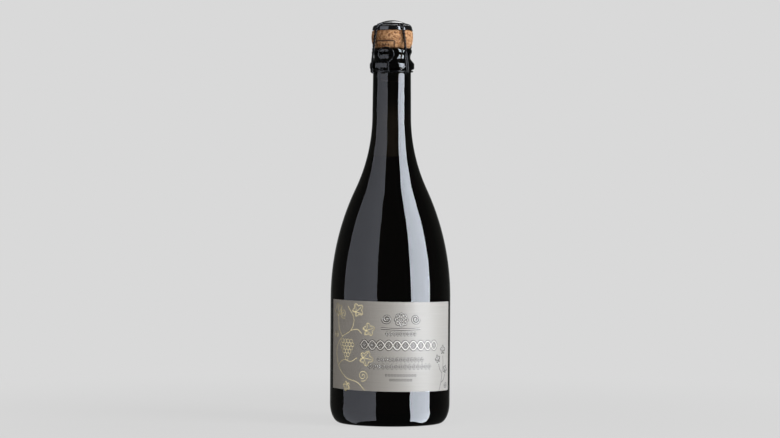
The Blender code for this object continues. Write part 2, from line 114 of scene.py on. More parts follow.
def new_material(name, **values):
    """A material with a Principled shader, its values set on the sockets; returns all three."""
    material = bpy.data.materials.new(name)
    material.use_nodes = True
    shader = material.node_tree.nodes["Principled BSDF"]
    for label, value in values.items():
        shader.inputs[label.replace("_", " ")].default_value = value
    return material, material.node_tree, shader


def make_uneven(tree, shader, size, depth, strength, detail):
    """Make a finish faintly uneven, with bumps of a real size and depth."""
    place = add(tree, "ShaderNodeTexCoord").outputs["Object"]
    swell = add(tree, "ShaderNodeTexNoise", {"Vector": place, "Scale": 1 / size, "Detail": detail})
    add(tree, "ShaderNodeBump", {
        "Height": swell, "Strength": strength, "Distance": depth,
    }, to=shader.inputs["Normal"])


def show(name, data):
    """A new object for a mesh, a lamp or a camera, linked to the scene."""
    made = bpy.data.objects.new(name, data)
    bpy.context.scene.collection.objects.link(made)
    return made


def fit(piece, node, body):
    """Let a finished piece stand for its node, hide the node's facets and ride on its body."""
    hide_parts(node)
    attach(piece, body)


print("0.5 grey is", hex_colour("#808080")[0])

# %% [markdown]
# Most pieces here are turned, like work on a lathe: an outline swept round the axis. Blender's
# Screw modifier can do that, but a Geometry Nodes tree shows the rule openly. A grid gets one
# column for each point of the outline and one row for each side; every grid point looks up
# its outline point and is turned by its row's angle. Merging closes the seam and the poles.

# %% A tree that turns an outline
def start_tree(name, sizes):
    """A Geometry Nodes tree with a geometry input and output and named inputs for its sizes."""
    tree = bpy.data.node_groups.new(name, "GeometryNodeTree")
    tree.interface.new_socket("Geometry", in_out="INPUT", socket_type="NodeSocketGeometry")
    for label, kind in sizes.items():
        tree.interface.new_socket(label, in_out="INPUT", socket_type="NodeSocket" + kind)
    tree.interface.new_socket("Geometry", in_out="OUTPUT", socket_type="NodeSocketGeometry")
    return tree, tree.nodes.new("NodeGroupInput").outputs


def end_tree(tree, shape, material):
    """Finish a tree with real, smooth geometry in its material."""
    smooth = add(tree, "GeometryNodeSetShadeSmooth", {"Geometry": shape})
    real = add(tree, "GeometryNodeRealizeInstances", {"Geometry": smooth})
    painted = add(tree, "GeometryNodeSetMaterial", {"Geometry": real, "Material": material})
    add(tree, "NodeGroupOutput", {"Geometry": painted})


WELD = 0.001 * MM            # closes seams and poles, far under any real detail


def turning_tree():
    """Sweep an outline of (radius, 0, height) points round Z."""
    tree, given = start_tree("Turned piece", {"Sides": "Int", "Material": "Material"})
    outline = given["Geometry"]
    count = add(tree, "GeometryNodeAttributeDomainSize", {"Geometry": outline})
    rows = add(tree, "FunctionNodeIntegerMath", {0: given["Sides"], 1: 1}, operation="ADD")
    grid = add(tree, "GeometryNodeMeshGrid", {
        "Vertices X": count.outputs["Point Count"], "Vertices Y": rows,
    })
    index = add(tree, "GeometryNodeInputIndex")
    column = add(tree, "FunctionNodeIntegerMath", {0: index, 1: rows}, operation="DIVIDE_FLOOR")
    row = add(tree, "FunctionNodeIntegerMath", {0: index, 1: rows}, operation="MODULO")
    share = add(tree, "ShaderNodeMath", {0: row, 1: given["Sides"]}, operation="DIVIDE")
    angle = add(tree, "ShaderNodeMath", {0: share, 1: math.tau}, operation="MULTIPLY")
    point = add(tree, "GeometryNodeSampleIndex", {
        "Geometry": outline, "Value": add(tree, "GeometryNodeInputPosition"), "Index": column,
    }, data_type="FLOAT_VECTOR")
    turned = add(tree, "ShaderNodeVectorRotate", {"Vector": point, "Angle": angle}, rotation_type="Z_AXIS")
    swept = add(tree, "GeometryNodeSetPosition", {"Geometry": grid, "Position": turned})
    closed = add(tree, "GeometryNodeMergeByDistance", {"Geometry": swept, "Distance": WELD})
    end_tree(tree, closed, given["Material"])
    return tree


def line_mesh(name, lines, closed=False):
    """A mesh of points and edges only: what a tree reads as outlines or paths."""
    mesh = bpy.data.meshes.new(name)
    points, edges = [], []
    for line in lines:
        first = len(points)
        points += [tuple(point) for point in line]
        edges += [(index, index + 1) for index in range(first, len(points) - 1)]
        if closed:
            edges.append((len(points) - 1, first))
    mesh.from_pydata(points, edges, [])
    return mesh


def run_tree(name, data, tree, sharp=60, **values):
    """Run a tree on a mesh, keep the result as a plain mesh, and drop the modifier."""
    rough = show(name + "_rough", data)
    modifier = rough.modifiers.new("Shape", "NODES")
    modifier.node_group = tree
    for item in tree.interface.items_tree:
        if item.in_out == "INPUT" and item.name in values:
            modifier[item.identifier] = values[item.name]
    evaluated = rough.evaluated_get(bpy.context.evaluated_depsgraph_get())
    mesh = bpy.data.meshes.new_from_object(evaluated)
    mesh.name = name
    bpy.data.objects.remove(rough)
    shape = bmesh.new()
    shape.from_mesh(mesh)
    if shape.calc_volume(signed=True) < 0:
        bmesh.ops.reverse_faces(shape, faces=shape.faces)
    loose = sum(1 for edge in shape.edges if not edge.is_manifold)
    shape.to_mesh(mesh)
    shape.free()
    mesh.set_sharp_from_angle(angle=math.radians(sharp))
    print(name, len(mesh.polygons), "faces", loose, "open edges")
    return show(name, mesh)


TURNED = turning_tree()

# %% [markdown]
# Outlines are drawn as a lathe operator reads them: straight runs with rounded corners,
# arcs of ellipses, and curves through a few stations. A moulded edge is never quite sharp,
# and the small radius is what catches the light, so every corner gets its fillet.

# %% Outline tools
def around(radius, azimuth, height):
    """The point at a radius, an azimuth in degrees and a height."""
    turn = math.radians(azimuth)
    return Vector((radius * math.sin(turn), -radius * math.cos(turn), height))


def level_circle(radius, height, count):
    """Points all the way round the axis at one height."""
    return [around(radius, 360 / count * step, height) for step in range(count)]


def ellipse(centre, wide, high, start, end, steps):
    """Points (radius, height) on an ellipse, from one angle in degrees to another."""
    points = []
    for step in range(steps + 1):
        angle = math.radians(start + (end - start) * step / steps)
        points.append((centre[0] + wide * math.cos(angle), centre[1] + high * math.sin(angle)))
    return points


def rounded(corners, steps=6):
    """An outline through corners (radius, height, fillet), each turned into an arc."""
    points = []
    for index, (radius, height, fillet) in enumerate(corners):
        corner = Vector((radius, height))
        if index in (0, len(corners) - 1) or not fillet:
            points.append(tuple(corner))
            continue
        back = (Vector(corners[index - 1][:2]) - corner).normalized()
        ahead = (Vector(corners[index + 1][:2]) - corner).normalized()
        half = back.angle(ahead) / 2
        reach = fillet / math.tan(half)
        middle = corner + (back + ahead).normalized() * fillet / math.sin(half)
        spoke = corner + back * reach - middle
        turn = spoke.angle_signed(corner + ahead * reach - middle)
        for step in range(steps + 1):
            swung = Matrix.Rotation(-turn * step / steps, 2) @ spoke
            points.append(tuple(middle + swung))
    return points


def inset(outline, depth):
    """The outline moved square to itself, to its right hand as it runs."""
    moved = []
    last = len(outline) - 1
    for index, point in enumerate(outline):
        here = Vector(point)
        before = Vector(outline[max(index - 1, 0)])
        after = Vector(outline[min(index + 1, last)])
        into = (here - before if index else after - here).normalized()
        out_of = (after - here).normalized() if index < last else into
        square = Vector((into.y, -into.x))
        normal = (square + Vector((out_of.y, -out_of.x))).normalized()
        moved.append(tuple(here + normal * depth / normal.dot(square)))
    return moved


def smooth_path(stations, steps):
    """A curve through stations, as points; it leaves and enters each of them smoothly."""
    knots = [Vector(station) for station in stations]
    knots = [knots[0] * 2 - knots[1], *knots, knots[-1] * 2 - knots[-2]]
    fine = []
    for first, second, third, fourth in zip(knots, knots[1:], knots[2:], knots[3:]):
        for step in range(steps):
            share = step / steps
            fine.append(0.5 * (
                2 * second + (third - first) * share
                + (2 * first - 5 * second + 4 * third - fourth) * share ** 2
                + (3 * second - first - 3 * third + fourth) * share ** 3
            ))
    fine.append(knots[-2])
    return fine


def even_points(path, count):
    """Points at equal distances along a fine path, both ends among them."""
    lengths = [0.0]
    for before, after in zip(path, path[1:]):
        lengths.append(lengths[-1] + (after - before).length)
    points = []
    index = 0
    for step in range(count + 1):
        target = lengths[-1] * step / count
        while index < len(path) - 2 and lengths[index + 1] < target:
            index += 1
        span = lengths[index + 1] - lengths[index]
        points.append(path[index].lerp(path[index + 1], (target - lengths[index]) / span))
    return points


def turn_piece(name, outline, material, sides=96, sharp=50):
    """Turn an outline of (radius, height) points into a finished piece."""
    data = line_mesh(name, [[(radius, 0, height) for radius, height in outline]])
    return run_tree(name, data, TURNED, sharp, Sides=sides, Material=material)


print("quarter circle of", len(ellipse((0, 0), 1, 1, 0, 90, 6)), "points")

# %% [markdown]
# Bottle glass is soda-lime glass, coloured in the melt. Iron and chromium make it so dark
# that a filled bottle looks black, and only the empty neck lets a little brown light through.
# The colour sits in the whole thickness, not on the skin, so the surface is clear and the
# inside absorbs: light that runs a long way through the wall, as it does near the outline,
# is lost, and the edges stay black. Blown glass is also never quite even. A faint swell,
# about as wide as a thumb, bends the outlines of what it mirrors.

# %% Glass
GLASS_TINT = hex_colour("#988e79")
LOST_PER_METRE = 1000.0      # the unit of that absorbing tint
BODY_WALL = 3.4 * MM
bottle_glass, tree, shader = new_material(
    "antique_brown_bottle_glass", Base_Color=(1.0, 1.0, 1.0, 1.0), Roughness=0.0,
    IOR=1.52, Transmission_Weight=1.0,
)
make_uneven(tree, shader, size=16 * MM, depth=0.18 * MM, strength=1.0, detail=1.0)
add(tree, "ShaderNodeVolumeAbsorption", {
    "Color": GLASS_TINT, "Density": LOST_PER_METRE,
}, to=tree.nodes["Material Output"].inputs["Volume"])
for name, share in zip(("red", "green", "blue"), GLASS_TINT):
    lost = (1 - share) * LOST_PER_METRE * 2 * BODY_WALL
    print("through both walls", name, round(math.exp(-lost), 4))

# %% [markdown]
# The bottle is blown in a mould, and its finish, the mouth, is pressed. From the mouth down
# there is the lip, a waist, the bead that the cage grips, the neck, the long shoulder, the
# body, the rounded heel and the punt, the hollow under the base. The shoulder is two arcs
# that meet at one tangent, the form that makes this bottle slim above and full below.

# %% Sizes of the bottle
glass_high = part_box("glass_bottle")[1]
BODY_RADIUS = glass_high.x
GLASS_HEIGHT = glass_high.z
HEEL_WIDTH = 7.7 * MM
HEEL_HEIGHT = 15.0 * MM
STANDING_WIDTH = 2.3 * MM
PUNT_DEPTH = 28.0 * MM
PUNT_WALL = 5.0 * MM
FLOOR_HEIGHT = 14.0 * MM
VALLEY_WIDTH = 6.1 * MM
VALLEY_DEPTH = 5.5 * MM
SHOULDER_RISE = 136.7 * MM
SHOULDER_RADIUS = 192.6 * MM
NECK_LENGTH = 50.5 * MM
NECK_FOOT_RADIUS = 14.52 * MM
NECK_TOP_RADIUS = 14.20 * MM
LIP_RADIUS = 14.85 * MM
LIP_DEPTH = 3.3 * MM
LIP_CROWN = 2.0 * MM
LIP_ROUND = 0.8 * MM
LIP_UNDERSIDE = 1.8 * MM
WAIST_RADIUS = 13.6 * MM
WAIST_LENGTH = 4.5 * MM
WAIST_ROUND = 1.0 * MM
WAIST_HOLLOW = 4.0 * MM
BEAD_RADIUS = 16.7 * MM
BEAD_SLOPE = 3.8 * MM
BEAD_BAND = 3.8 * MM
BEAD_ROUND = 1.0 * MM
BEAD_UNDERSIDE = 1.3 * MM
BORE_RADIUS = 9.0 * MM
BORE_LENGTH = 30.0 * MM
BORE_ROUND = 0.7 * MM
NECK_FOOT = GLASS_HEIGHT - NECK_LENGTH
SHOULDER_START = NECK_FOOT - SHOULDER_RISE
LIP_BOTTOM = GLASS_HEIGHT - LIP_DEPTH
SLOPE_TOP = LIP_BOTTOM - WAIST_LENGTH
BEAD_TOP = SLOPE_TOP - BEAD_SLOPE
BEAD_BOTTOM = BEAD_TOP - BEAD_BAND
print("shoulder from", round(SHOULDER_START / MM, 1), "to", round(NECK_FOOT / MM, 1), "mm")


# %% Shoulder and base
def shoulder_radius(height, depth):
    """Radius of the shoulder at a height, at a depth under its outer surface."""
    narrowing = BODY_RADIUS - NECK_FOOT_RADIUS
    both_radii = (narrowing ** 2 + SHOULDER_RISE ** 2) / (2 * narrowing)
    hollow = both_radii - SHOULDER_RADIUS
    meeting = SHOULDER_START + (SHOULDER_RADIUS - depth) * SHOULDER_RISE / both_radii
    if height > meeting:
        reach = math.sqrt((hollow + depth) ** 2 - (NECK_FOOT - height) ** 2)
        return NECK_FOOT_RADIUS + hollow - reach
    reach = math.sqrt((SHOULDER_RADIUS - depth) ** 2 - (height - SHOULDER_START) ** 2)
    return BODY_RADIUS - SHOULDER_RADIUS + reach


def shoulder(depth, top, steps=48):
    """The shoulder's outline at even levels from a top down to the body, at a depth."""
    points = [(shoulder_radius(top, depth), top)]
    for step in range(1, steps + 1):
        height = NECK_FOOT - SHOULDER_RISE * step / steps
        if height < top:
            points.append((shoulder_radius(height, depth), height))
    return points


def floor_outline(gap, steps=16):
    """The inside of the base from the wall, down the valley and over the punt to the axis."""
    wall = BODY_RADIUS - BODY_WALL
    half = VALLEY_WIDTH / 2
    valley = ellipse((wall - half, FLOOR_HEIGHT), half - gap, VALLEY_DEPTH - gap, 0, -180, steps)
    rise = PUNT_DEPTH + PUNT_WALL - FLOOR_HEIGHT + gap
    crown = ellipse((0, FLOOR_HEIGHT), wall - VALLEY_WIDTH + gap, rise, 0, 90, steps)
    crown[-1] = (0, crown[-1][1])
    return valley + crown[1:]


print("radius half way up the shoulder", round(shoulder_radius(NECK_FOOT - SHOULDER_RISE / 2, 0) / MM, 1))


# %% Bottle
def bottle_outline(steps=20):
    """The inside from the base up, over the lip, then down the outside to the punt."""
    inside = floor_outline(0)[::-1] + shoulder(BODY_WALL, NECK_FOOT)[::-1]
    inside.append((BORE_RADIUS, GLASS_HEIGHT - BORE_LENGTH))
    mouth = rounded([
        (BORE_RADIUS, LIP_BOTTOM, 0),
        (BORE_RADIUS, GLASS_HEIGHT, BORE_ROUND),
        (LIP_RADIUS, GLASS_HEIGHT, LIP_CROWN),
        (LIP_RADIUS, LIP_BOTTOM, LIP_ROUND),
        (WAIST_RADIUS, LIP_BOTTOM - LIP_UNDERSIDE, WAIST_ROUND),
        (WAIST_RADIUS, SLOPE_TOP, WAIST_HOLLOW),
        (BEAD_RADIUS, BEAD_TOP, BEAD_ROUND),
        (BEAD_RADIUS, BEAD_BOTTOM, BEAD_ROUND),
        (NECK_TOP_RADIUS, BEAD_BOTTOM - BEAD_UNDERSIDE, WAIST_ROUND),
        (NECK_FOOT_RADIUS, NECK_FOOT, 0),
    ])
    heel_inner = BODY_RADIUS - HEEL_WIDTH
    heel = ellipse((heel_inner, HEEL_HEIGHT), HEEL_WIDTH, HEEL_HEIGHT, 0, -90, steps)
    punt = ellipse((0, 0), heel_inner - STANDING_WIDTH, PUNT_DEPTH, 0, 90, steps)
    punt[-1] = (0, PUNT_DEPTH)
    return inside + mouth[1:] + shoulder(0, NECK_FOOT)[1:] + heel + punt


bottle = turn_piece("bottle_glass", bottle_outline(), bottle_glass, sides=128)
fit(bottle, "glass_bottle", "bottle")

# %% [markdown]
# The wine fills the bottle up to its level in the shoulder. Where it stands the photograph
# shows no light coming through at all, so it is a dark one. It keeps clear of the wall, and
# it gets hardly any shine of its own, because its side is really in touch with the glass.

# %% Wine
SEAT_GAP = 0.3 * MM          # between pieces that touch on the real bottle
FILL_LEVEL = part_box("wine")[1].z
garnet_wine, _, _ = new_material(
    "garnet_wine", Base_Color=hex_colour("#2a070c"), Roughness=0.1, IOR=1.1,
)
side = shoulder(BODY_WALL + SEAT_GAP, FILL_LEVEL)
wine = turn_piece("wine_fill", [(0, FILL_LEVEL), *side, *floor_outline(SEAT_GAP)], garnet_wine)
fit(wine, "wine", "bottle")

# %% [markdown]
# The label is metallised paper: a thin film of aluminium under a satin varnish, brushed so
# that fine level lines run round it. It was put on by machine a little off true, which shows
# as a slight slope. The sheet is modelled flat, in its own width and height, and then bent
# round the body, so that everything printed on it can be drawn in the same flat measures.

# %% Label sheet
LABEL_WIDTH = 112.2 * MM
LABEL_THICKNESS = 0.15 * MM
LABEL_AZIMUTH = 1.5
LABEL_SLOPE = math.tan(math.radians(-0.7))
label_low, label_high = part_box("front_label")
LABEL_HEIGHT = label_high.z - label_low.z
LABEL_FOOT = label_low.z
LABEL_FACE = BODY_RADIUS + SEAT_GAP + LABEL_THICKNESS


def on_label(across, up, lift=0.0):
    """A place on the label: across from its middle, up from its foot, and out from its face."""
    azimuth = LABEL_AZIMUTH + math.degrees(across / LABEL_FACE)
    return around(LABEL_FACE + lift, azimuth, LABEL_FOOT + up + across * LABEL_SLOPE)


def build_label(columns=160, rows=24):
    """A closed thin sheet, with its flat measures in metres as its UV map."""
    shape = bmesh.new()
    flat = shape.loops.layers.uv.new("UVMap")
    places = {}
    for side, lift in enumerate((0.0, -LABEL_THICKNESS)):
        for column in range(columns + 1):
            for row in range(rows + 1):
                across = LABEL_WIDTH * (column / columns - 0.5)
                up = LABEL_HEIGHT * row / rows
                vert = shape.verts.new(on_label(across, up, lift))
                places[vert] = (across, up)
    verts = list(shape.verts)
    step, layer = rows + 1, (columns + 1) * (rows + 1)

    def quad(*corners):
        face = shape.faces.new([verts[corner] for corner in corners])
        for loop in face.loops:
            loop[flat].uv = places[loop.vert]

    for column in range(columns):
        for row in range(rows):
            first = column * step + row
            quad(first, first + step, first + step + 1, first + 1)
            quad(*(layer + corner for corner in (first, first + 1, first + step + 1, first + step)))
        for row in (0, rows):
            first = column * step + row
            corners = (first, layer + first, layer + first + step, first + step)
            quad(*(corners if row == 0 else corners[::-1]))
    for row in range(rows):
        for column in (0, columns):
            first = column * step + row
            corners = (first, first + 1, layer + first + 1, layer + first)
            quad(*(corners if column == 0 else corners[::-1]))
    mesh = bpy.data.meshes.new("label_sheet")
    shape.to_mesh(mesh)
    shape.free()
    mesh.shade_smooth()
    mesh.set_sharp_from_angle(angle=math.radians(50))
    return show("label_sheet", mesh)


# %% Label paper
BRUSH_LENGTH = 30 * MM       # of a brushed line; real ones are finer than a render can show
BRUSH_PITCH = 0.35 * MM
BRUSH_DEPTH = 0.015 * MM
label_paper, tree, shader = new_material(
    "brushed_metallised_paper", Roughness=0.45, Metallic=0.0, IOR=1.35,
)
place = add(tree, "ShaderNodeUVMap", uv_map="UVMap")
stretched = add(tree, "ShaderNodeMapping", {
    "Vector": place, "Scale": (1 / BRUSH_LENGTH, 1 / BRUSH_PITCH, 1.0),
})
brushing = add(tree, "ShaderNodeTexNoise", {"Vector": stretched, "Scale": 1.0, "Detail": 4.0})
add(tree, "ShaderNodeValToRGB", {
    "Fac": brushing,
}, stops=((0.3, "#b3b1ae"), (0.7, "#bcbab7")), to=shader.inputs["Base Color"])
add(tree, "ShaderNodeBump", {
    "Height": brushing, "Strength": 0.2, "Distance": BRUSH_DEPTH,
}, to=shader.inputs["Normal"])

label = build_label()
label.data.materials.append(label_paper)
fit(label, "front_label", "bottle")
print("label", round(LABEL_WIDTH / MM, 1), "x", round(LABEL_HEIGHT / MM, 1), "mm")

# %% [markdown]
# The print on the label has three finishes: a hot-stamped foil that looks gold where it
# mirrors a light and dark where it mirrors none, a raised silver relief with a dark rim, and a
# plain dark ink. All are lines, so one tree serves them: it turns a flat path into a narrow
# cushion of the given width and height, and then bends it round the body with the label.

# %% A tree that lays lines on the label
def laying_tree():
    """Sweep flat paths (across, up) as low lines and bend them round the bottle."""
    tree, given = start_tree("Line on the label", {
        "Width": "Float", "Relief": "Float", "Face": "Float", "Turn": "Float",
        "Foot": "Float", "Slope": "Float", "Material": "Material",
    })
    path = add(tree, "GeometryNodeMeshToCurve", {"Mesh": given["Geometry"]})
    level = add(tree, "GeometryNodeSetCurveNormal", {"Curve": path}, mode="Z_UP")
    circle = add(tree, "GeometryNodeCurvePrimitiveCircle", {"Resolution": 8, "Radius": 0.5})
    double = add(tree, "ShaderNodeMath", {0: given["Relief"], 1: 2.0}, operation="MULTIPLY")
    size = add(tree, "ShaderNodeCombineXYZ", {"X": given["Width"], "Y": double, "Z": 1.0})
    section = add(tree, "GeometryNodeTransform", {"Geometry": circle, "Scale": size})
    swept = add(tree, "GeometryNodeCurveToMesh", {
        "Curve": level, "Profile Curve": section, "Fill Caps": True,
    })
    flat = add(tree, "ShaderNodeSeparateXYZ", {0: add(tree, "GeometryNodeInputPosition")})
    bend = add(tree, "ShaderNodeMath", {0: flat.outputs["X"], 1: given["Face"]}, operation="DIVIDE")
    angle = add(tree, "ShaderNodeMath", {0: bend, 1: given["Turn"]}, operation="ADD")
    radius = add(tree, "ShaderNodeMath", {0: flat.outputs["Z"], 1: given["Face"]}, operation="ADD")
    front = add(tree, "ShaderNodeMath", {0: radius, 1: -1.0}, operation="MULTIPLY")
    rise = add(tree, "ShaderNodeMath", {0: flat.outputs["X"], 1: given["Slope"]}, operation="MULTIPLY")
    lifted = add(tree, "ShaderNodeMath", {0: flat.outputs["Y"], 1: given["Foot"]}, operation="ADD")
    height = add(tree, "ShaderNodeMath", {0: lifted, 1: rise}, operation="ADD")
    straight = add(tree, "ShaderNodeCombineXYZ", {"Y": front, "Z": height})
    bent = add(tree, "ShaderNodeVectorRotate", {"Vector": straight, "Angle": angle}, rotation_type="Z_AXIS")
    laid = add(tree, "GeometryNodeSetPosition", {"Geometry": swept, "Position": bent})
    end_tree(tree, laid, given["Material"])
    return tree


LAID = laying_tree()


def lay(name, lines, width, relief, material, closed=False):
    """Lay flat lines on the label as one raised piece."""
    made = run_tree(
        name, line_mesh(name, lines, closed), LAID, Width=width, Relief=relief, Face=LABEL_FACE,
        Turn=math.radians(LABEL_AZIMUTH), Foot=LABEL_FOOT, Slope=LABEL_SLOPE, Material=material,
    )
    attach(made, "bottle")


gold_foil, _, _ = new_material(
    "hot_stamped_gold_foil", Base_Color=hex_colour("#dccb98"), Metallic=1.0, Roughness=0.3,
)
silver_relief, _, _ = new_material(
    "embossed_silver_varnish", Base_Color=hex_colour("#eceae6"), Roughness=0.3, IOR=1.5,
)
dark_ink, _, _ = new_material("dark_grey_ink", Base_Color=hex_colour("#2e2b29"), Roughness=0.5)

# %% [markdown]
# The design is a plain one of the kind that any printer has: a grapevine in foil that climbs
# the left side, a thin sprig in ink on the right, and between them a band of two waves that
# cross, a rosette with scrolls, and rows of small lozenges. A leaf is one formula in polar
# form: five lobes, a fine saw edge, and a notch at its stalk. Grapes are circles stacked like
# balls, and a tendril is a spiral that tightens.

# %% Motifs
LEAF_STEPS = 90
LEAF_LOBES = 5
LEAF_TEETH = 30
# What a leaf's edge gives up of its reach between two lobes, at its base and in the notch at
# its stalk, and what a tooth adds
SINUS_SHARE = 0.42
BASE_SHARE = 0.24
NOTCH_SHARE = 0.35
TOOTH_SHARE = 0.05
SINUS_POWER = 1.5            # over one, which makes the lobes round
NOTCH_WIDTH = 0.25           # each way, in radians
VEIN_START_SHARE = 0.3
VEIN_END_SHARE = 0.8
VEIN_BOW_SHARE = 0.05
TENDRIL_STEPS = 32
TENDRIL_TURNS = 1.9
TENDRIL_POWER = 0.8
GRAPE_ROW_SHARE = 1.75       # from row to row, in radii: each hangs in the gaps of the last


def on_sheet(places):
    """Places (across, up) in millimetres from the label's middle, as flat points in metres."""
    return [(across * MM, LABEL_HEIGHT / 2 + up * MM, 0) for across, up in places]


def flat_path(stations, steps=10):
    """A smooth line through places (across, up) in millimetres from the label's middle."""
    fine = smooth_path([(across * MM, up * MM) for across, up in stations], steps)
    return [(point.x, LABEL_HEIGHT / 2 + point.y, 0) for point in fine]


def polar(across, up, reach, angle):
    """The place at a reach and an angle in radians from another place."""
    return across + reach * math.cos(angle), up + reach * math.sin(angle)


def in_row(middle, count, pitch):
    """Where the motifs of a row lie, a pitch apart, about its middle."""
    return [middle + pitch * (place - (count - 1) / 2) for place in range(count)]


def leaf(across, up, size, turn):
    """A vine leaf's outline and its five veins, with its tip towards an angle in degrees."""
    outline, veins = [], []
    aim = math.radians(turn)
    for step in range(LEAF_STEPS):
        angle = math.tau * step / LEAF_STEPS
        lobe = LEAF_LOBES * step / LEAF_STEPS
        between = 2 * abs(lobe - round(lobe))
        sinus = 1 - SINUS_SHARE * between ** SINUS_POWER
        longer = 1 - BASE_SHARE * (1 - math.cos(angle)) / 2
        notch = 1 - NOTCH_SHARE * math.exp(-((angle - math.pi) / NOTCH_WIDTH) ** 2)
        tooth = 1 + TOOTH_SHARE * math.cos(LEAF_TEETH * angle)
        outline.append(polar(across, up, size * sinus * longer * notch * tooth, angle + aim))
    base = polar(across, up, -VEIN_START_SHARE * size, aim)
    for lobe in in_row(0, LEAF_LOBES, 360 / LEAF_LOBES):
        tip = polar(across, up, VEIN_END_SHARE * size, aim + math.radians(lobe))
        bow = ((base[0] + tip[0]) / 2 + VEIN_BOW_SHARE * size, (base[1] + tip[1]) / 2)
        veins.append(flat_path([base, bow, tip], steps=4))
    return on_sheet(outline), veins


def tendril(across, up, size, turn, hand=1):
    """A spiral that tightens, from its outer end inwards; hand is 1 or -1, the way it winds."""
    places = []
    for step in range(TENDRIL_STEPS + 1):
        share = step / TENDRIL_STEPS
        angle = math.radians(turn) + hand * TENDRIL_TURNS * math.tau * share
        places.append(polar(across, up, size * (1 - share) ** TENDRIL_POWER, angle))
    return flat_path(places, steps=2)


def ring_path(across, up, wide, high, steps=20):
    """A closed ellipse."""
    return on_sheet(ellipse((across, up), wide, high, 0, 360 - 360 / steps, steps - 1))


def grapes(across, up, size, rows=(4, 5, 4, 3, 2, 1)):
    """A bunch: rows of circles, each row set between the grapes above it."""
    found = []
    for level, count in enumerate(rows):
        for place in in_row(across, count, size * 2):
            found.append(ring_path(place, up - size * GRAPE_ROW_SHARE * level, size, size, steps=14))
    return found


print("a leaf of size 1 is", len(leaf(0, 0, 1, 0)[0]), "points")

# %% Vine and sprig
# Places are in millimetres from the label's middle. A leaf adds its size and the angle that
# its tip points to.
VINE_LEAVES = (
    (-20, -9, 6.2, -10), (-47, 25, 5.8, 110), (-37, -30, 4.0, 250),
    (-18, 12, 5.4, 20), (-27, 26, 5.6, 40),
)
SPRIG_LEAVES = ((49.5, -17.5, 3.4, 70), (39.5, -9.5, 3.4, 110), (46, -3, 3.8, 90))
PLANT_LINE = 0.4 * MM
PLANT_RELIEF = 0.05 * MM
GRAPE_LINE = 0.8 * PLANT_LINE


def lay_plant(stems_name, stems, leaves_name, leaves, material):
    """Lay a plant: its stems with the veins of its leaves, and the outlines of its leaves."""
    lines, outlines = list(stems), []
    for place in leaves:
        outline, veins = leaf(*place)
        outlines.append(outline)
        lines += veins
    lay(stems_name, lines, PLANT_LINE, PLANT_RELIEF, material)
    lay(leaves_name, outlines, PLANT_LINE, PLANT_RELIEF, material, closed=True)


vine = [
    flat_path([
        (-20, -33), (-27, -27), (-38, -24), (-47, -15), (-49, -3),
        (-42, 6), (-33, 11), (-30, 20), (-36, 29),
    ]),
    flat_path([(-47, -15), (-40, -11), (-33, -12), (-27, -9)]),
    flat_path([(-42, 6), (-46, 12), (-47, 20)]),
    tendril(-22, -22, 4.2, 250),
    tendril(-41, 23, 3.6, -60, -1),
    tendril(-50, 7, 3.0, -30),
    flat_path([(-33, 11), (-27, 12), (-23, 9)]),
]
sprig = [
    flat_path([(41, -33), (43.5, -27), (45, -20), (46.5, -13), (46, -7)]),
    flat_path([(43.5, -27), (47, -25), (49.5, -21)]),
    flat_path([(45, -20), (42, -17), (40.5, -13)]),
    tendril(50.5, -29, 2.4, 160),
]
lay_plant("foil_vine_stems", vine, "foil_vine_leaves", VINE_LEAVES, gold_foil)
lay("foil_grapes", grapes(-37, 3, 1.45), GRAPE_LINE, PLANT_RELIEF, gold_foil, closed=True)
lay_plant("ink_sprig", sprig, "ink_sprig_leaves", SPRIG_LEAVES, dark_ink)

# %% [markdown]
# The relief is laid twice along the same paths: once wide, flat and dark, which is the ink
# under the edge, and once narrower, higher and bright, which is the raised varnish.

# %% Relief
RELIEF_RIM = 0.5 * MM
RELIEF_HEIGHT = 0.16 * MM
WAVE_LINE = 0.95 * MM
EYE_LINE = 0.4 * MM
# From here on, places and sizes of motifs are in millimetres, as above
BAND_MIDDLE = 7.0
BAND_LEVEL = 1.0
BAND_HALF = 31.0
WAVE_HEIGHT = 3.2
WAVE_LENGTH = 12.4
WAVE_STEPS = 40
EYES = round(4 * BAND_HALF / WAVE_LENGTH)
EYE_RADIUS = 0.7


def relief(name, lines, width, closed=False):
    """Raised varnish over a darker rim."""
    lay(name + "_rim", lines, width + 2 * RELIEF_RIM, RELIEF_HEIGHT / 4, dark_ink, closed)
    lay(name, lines, width, RELIEF_HEIGHT, silver_relief, closed)


def wave(hand):
    """One wave of the band, drawn to both ends of it."""
    places = []
    for step in range(WAVE_STEPS + 1):
        across = -BAND_HALF + 2 * BAND_HALF * step / WAVE_STEPS
        swing = hand * WAVE_HEIGHT * math.sin(math.tau * across / WAVE_LENGTH)
        places.append((BAND_MIDDLE + across, BAND_LEVEL + swing))
    return flat_path(places, steps=4)


relief("relief_waves", [wave(1), wave(-1)], WAVE_LINE)
eyes = [
    ring_path(across, BAND_LEVEL, EYE_RADIUS, EYE_RADIUS, steps=10)
    for across in in_row(BAND_MIDDLE, EYES, WAVE_LENGTH / 2)
]
relief("relief_eyes", eyes, EYE_LINE, closed=True)

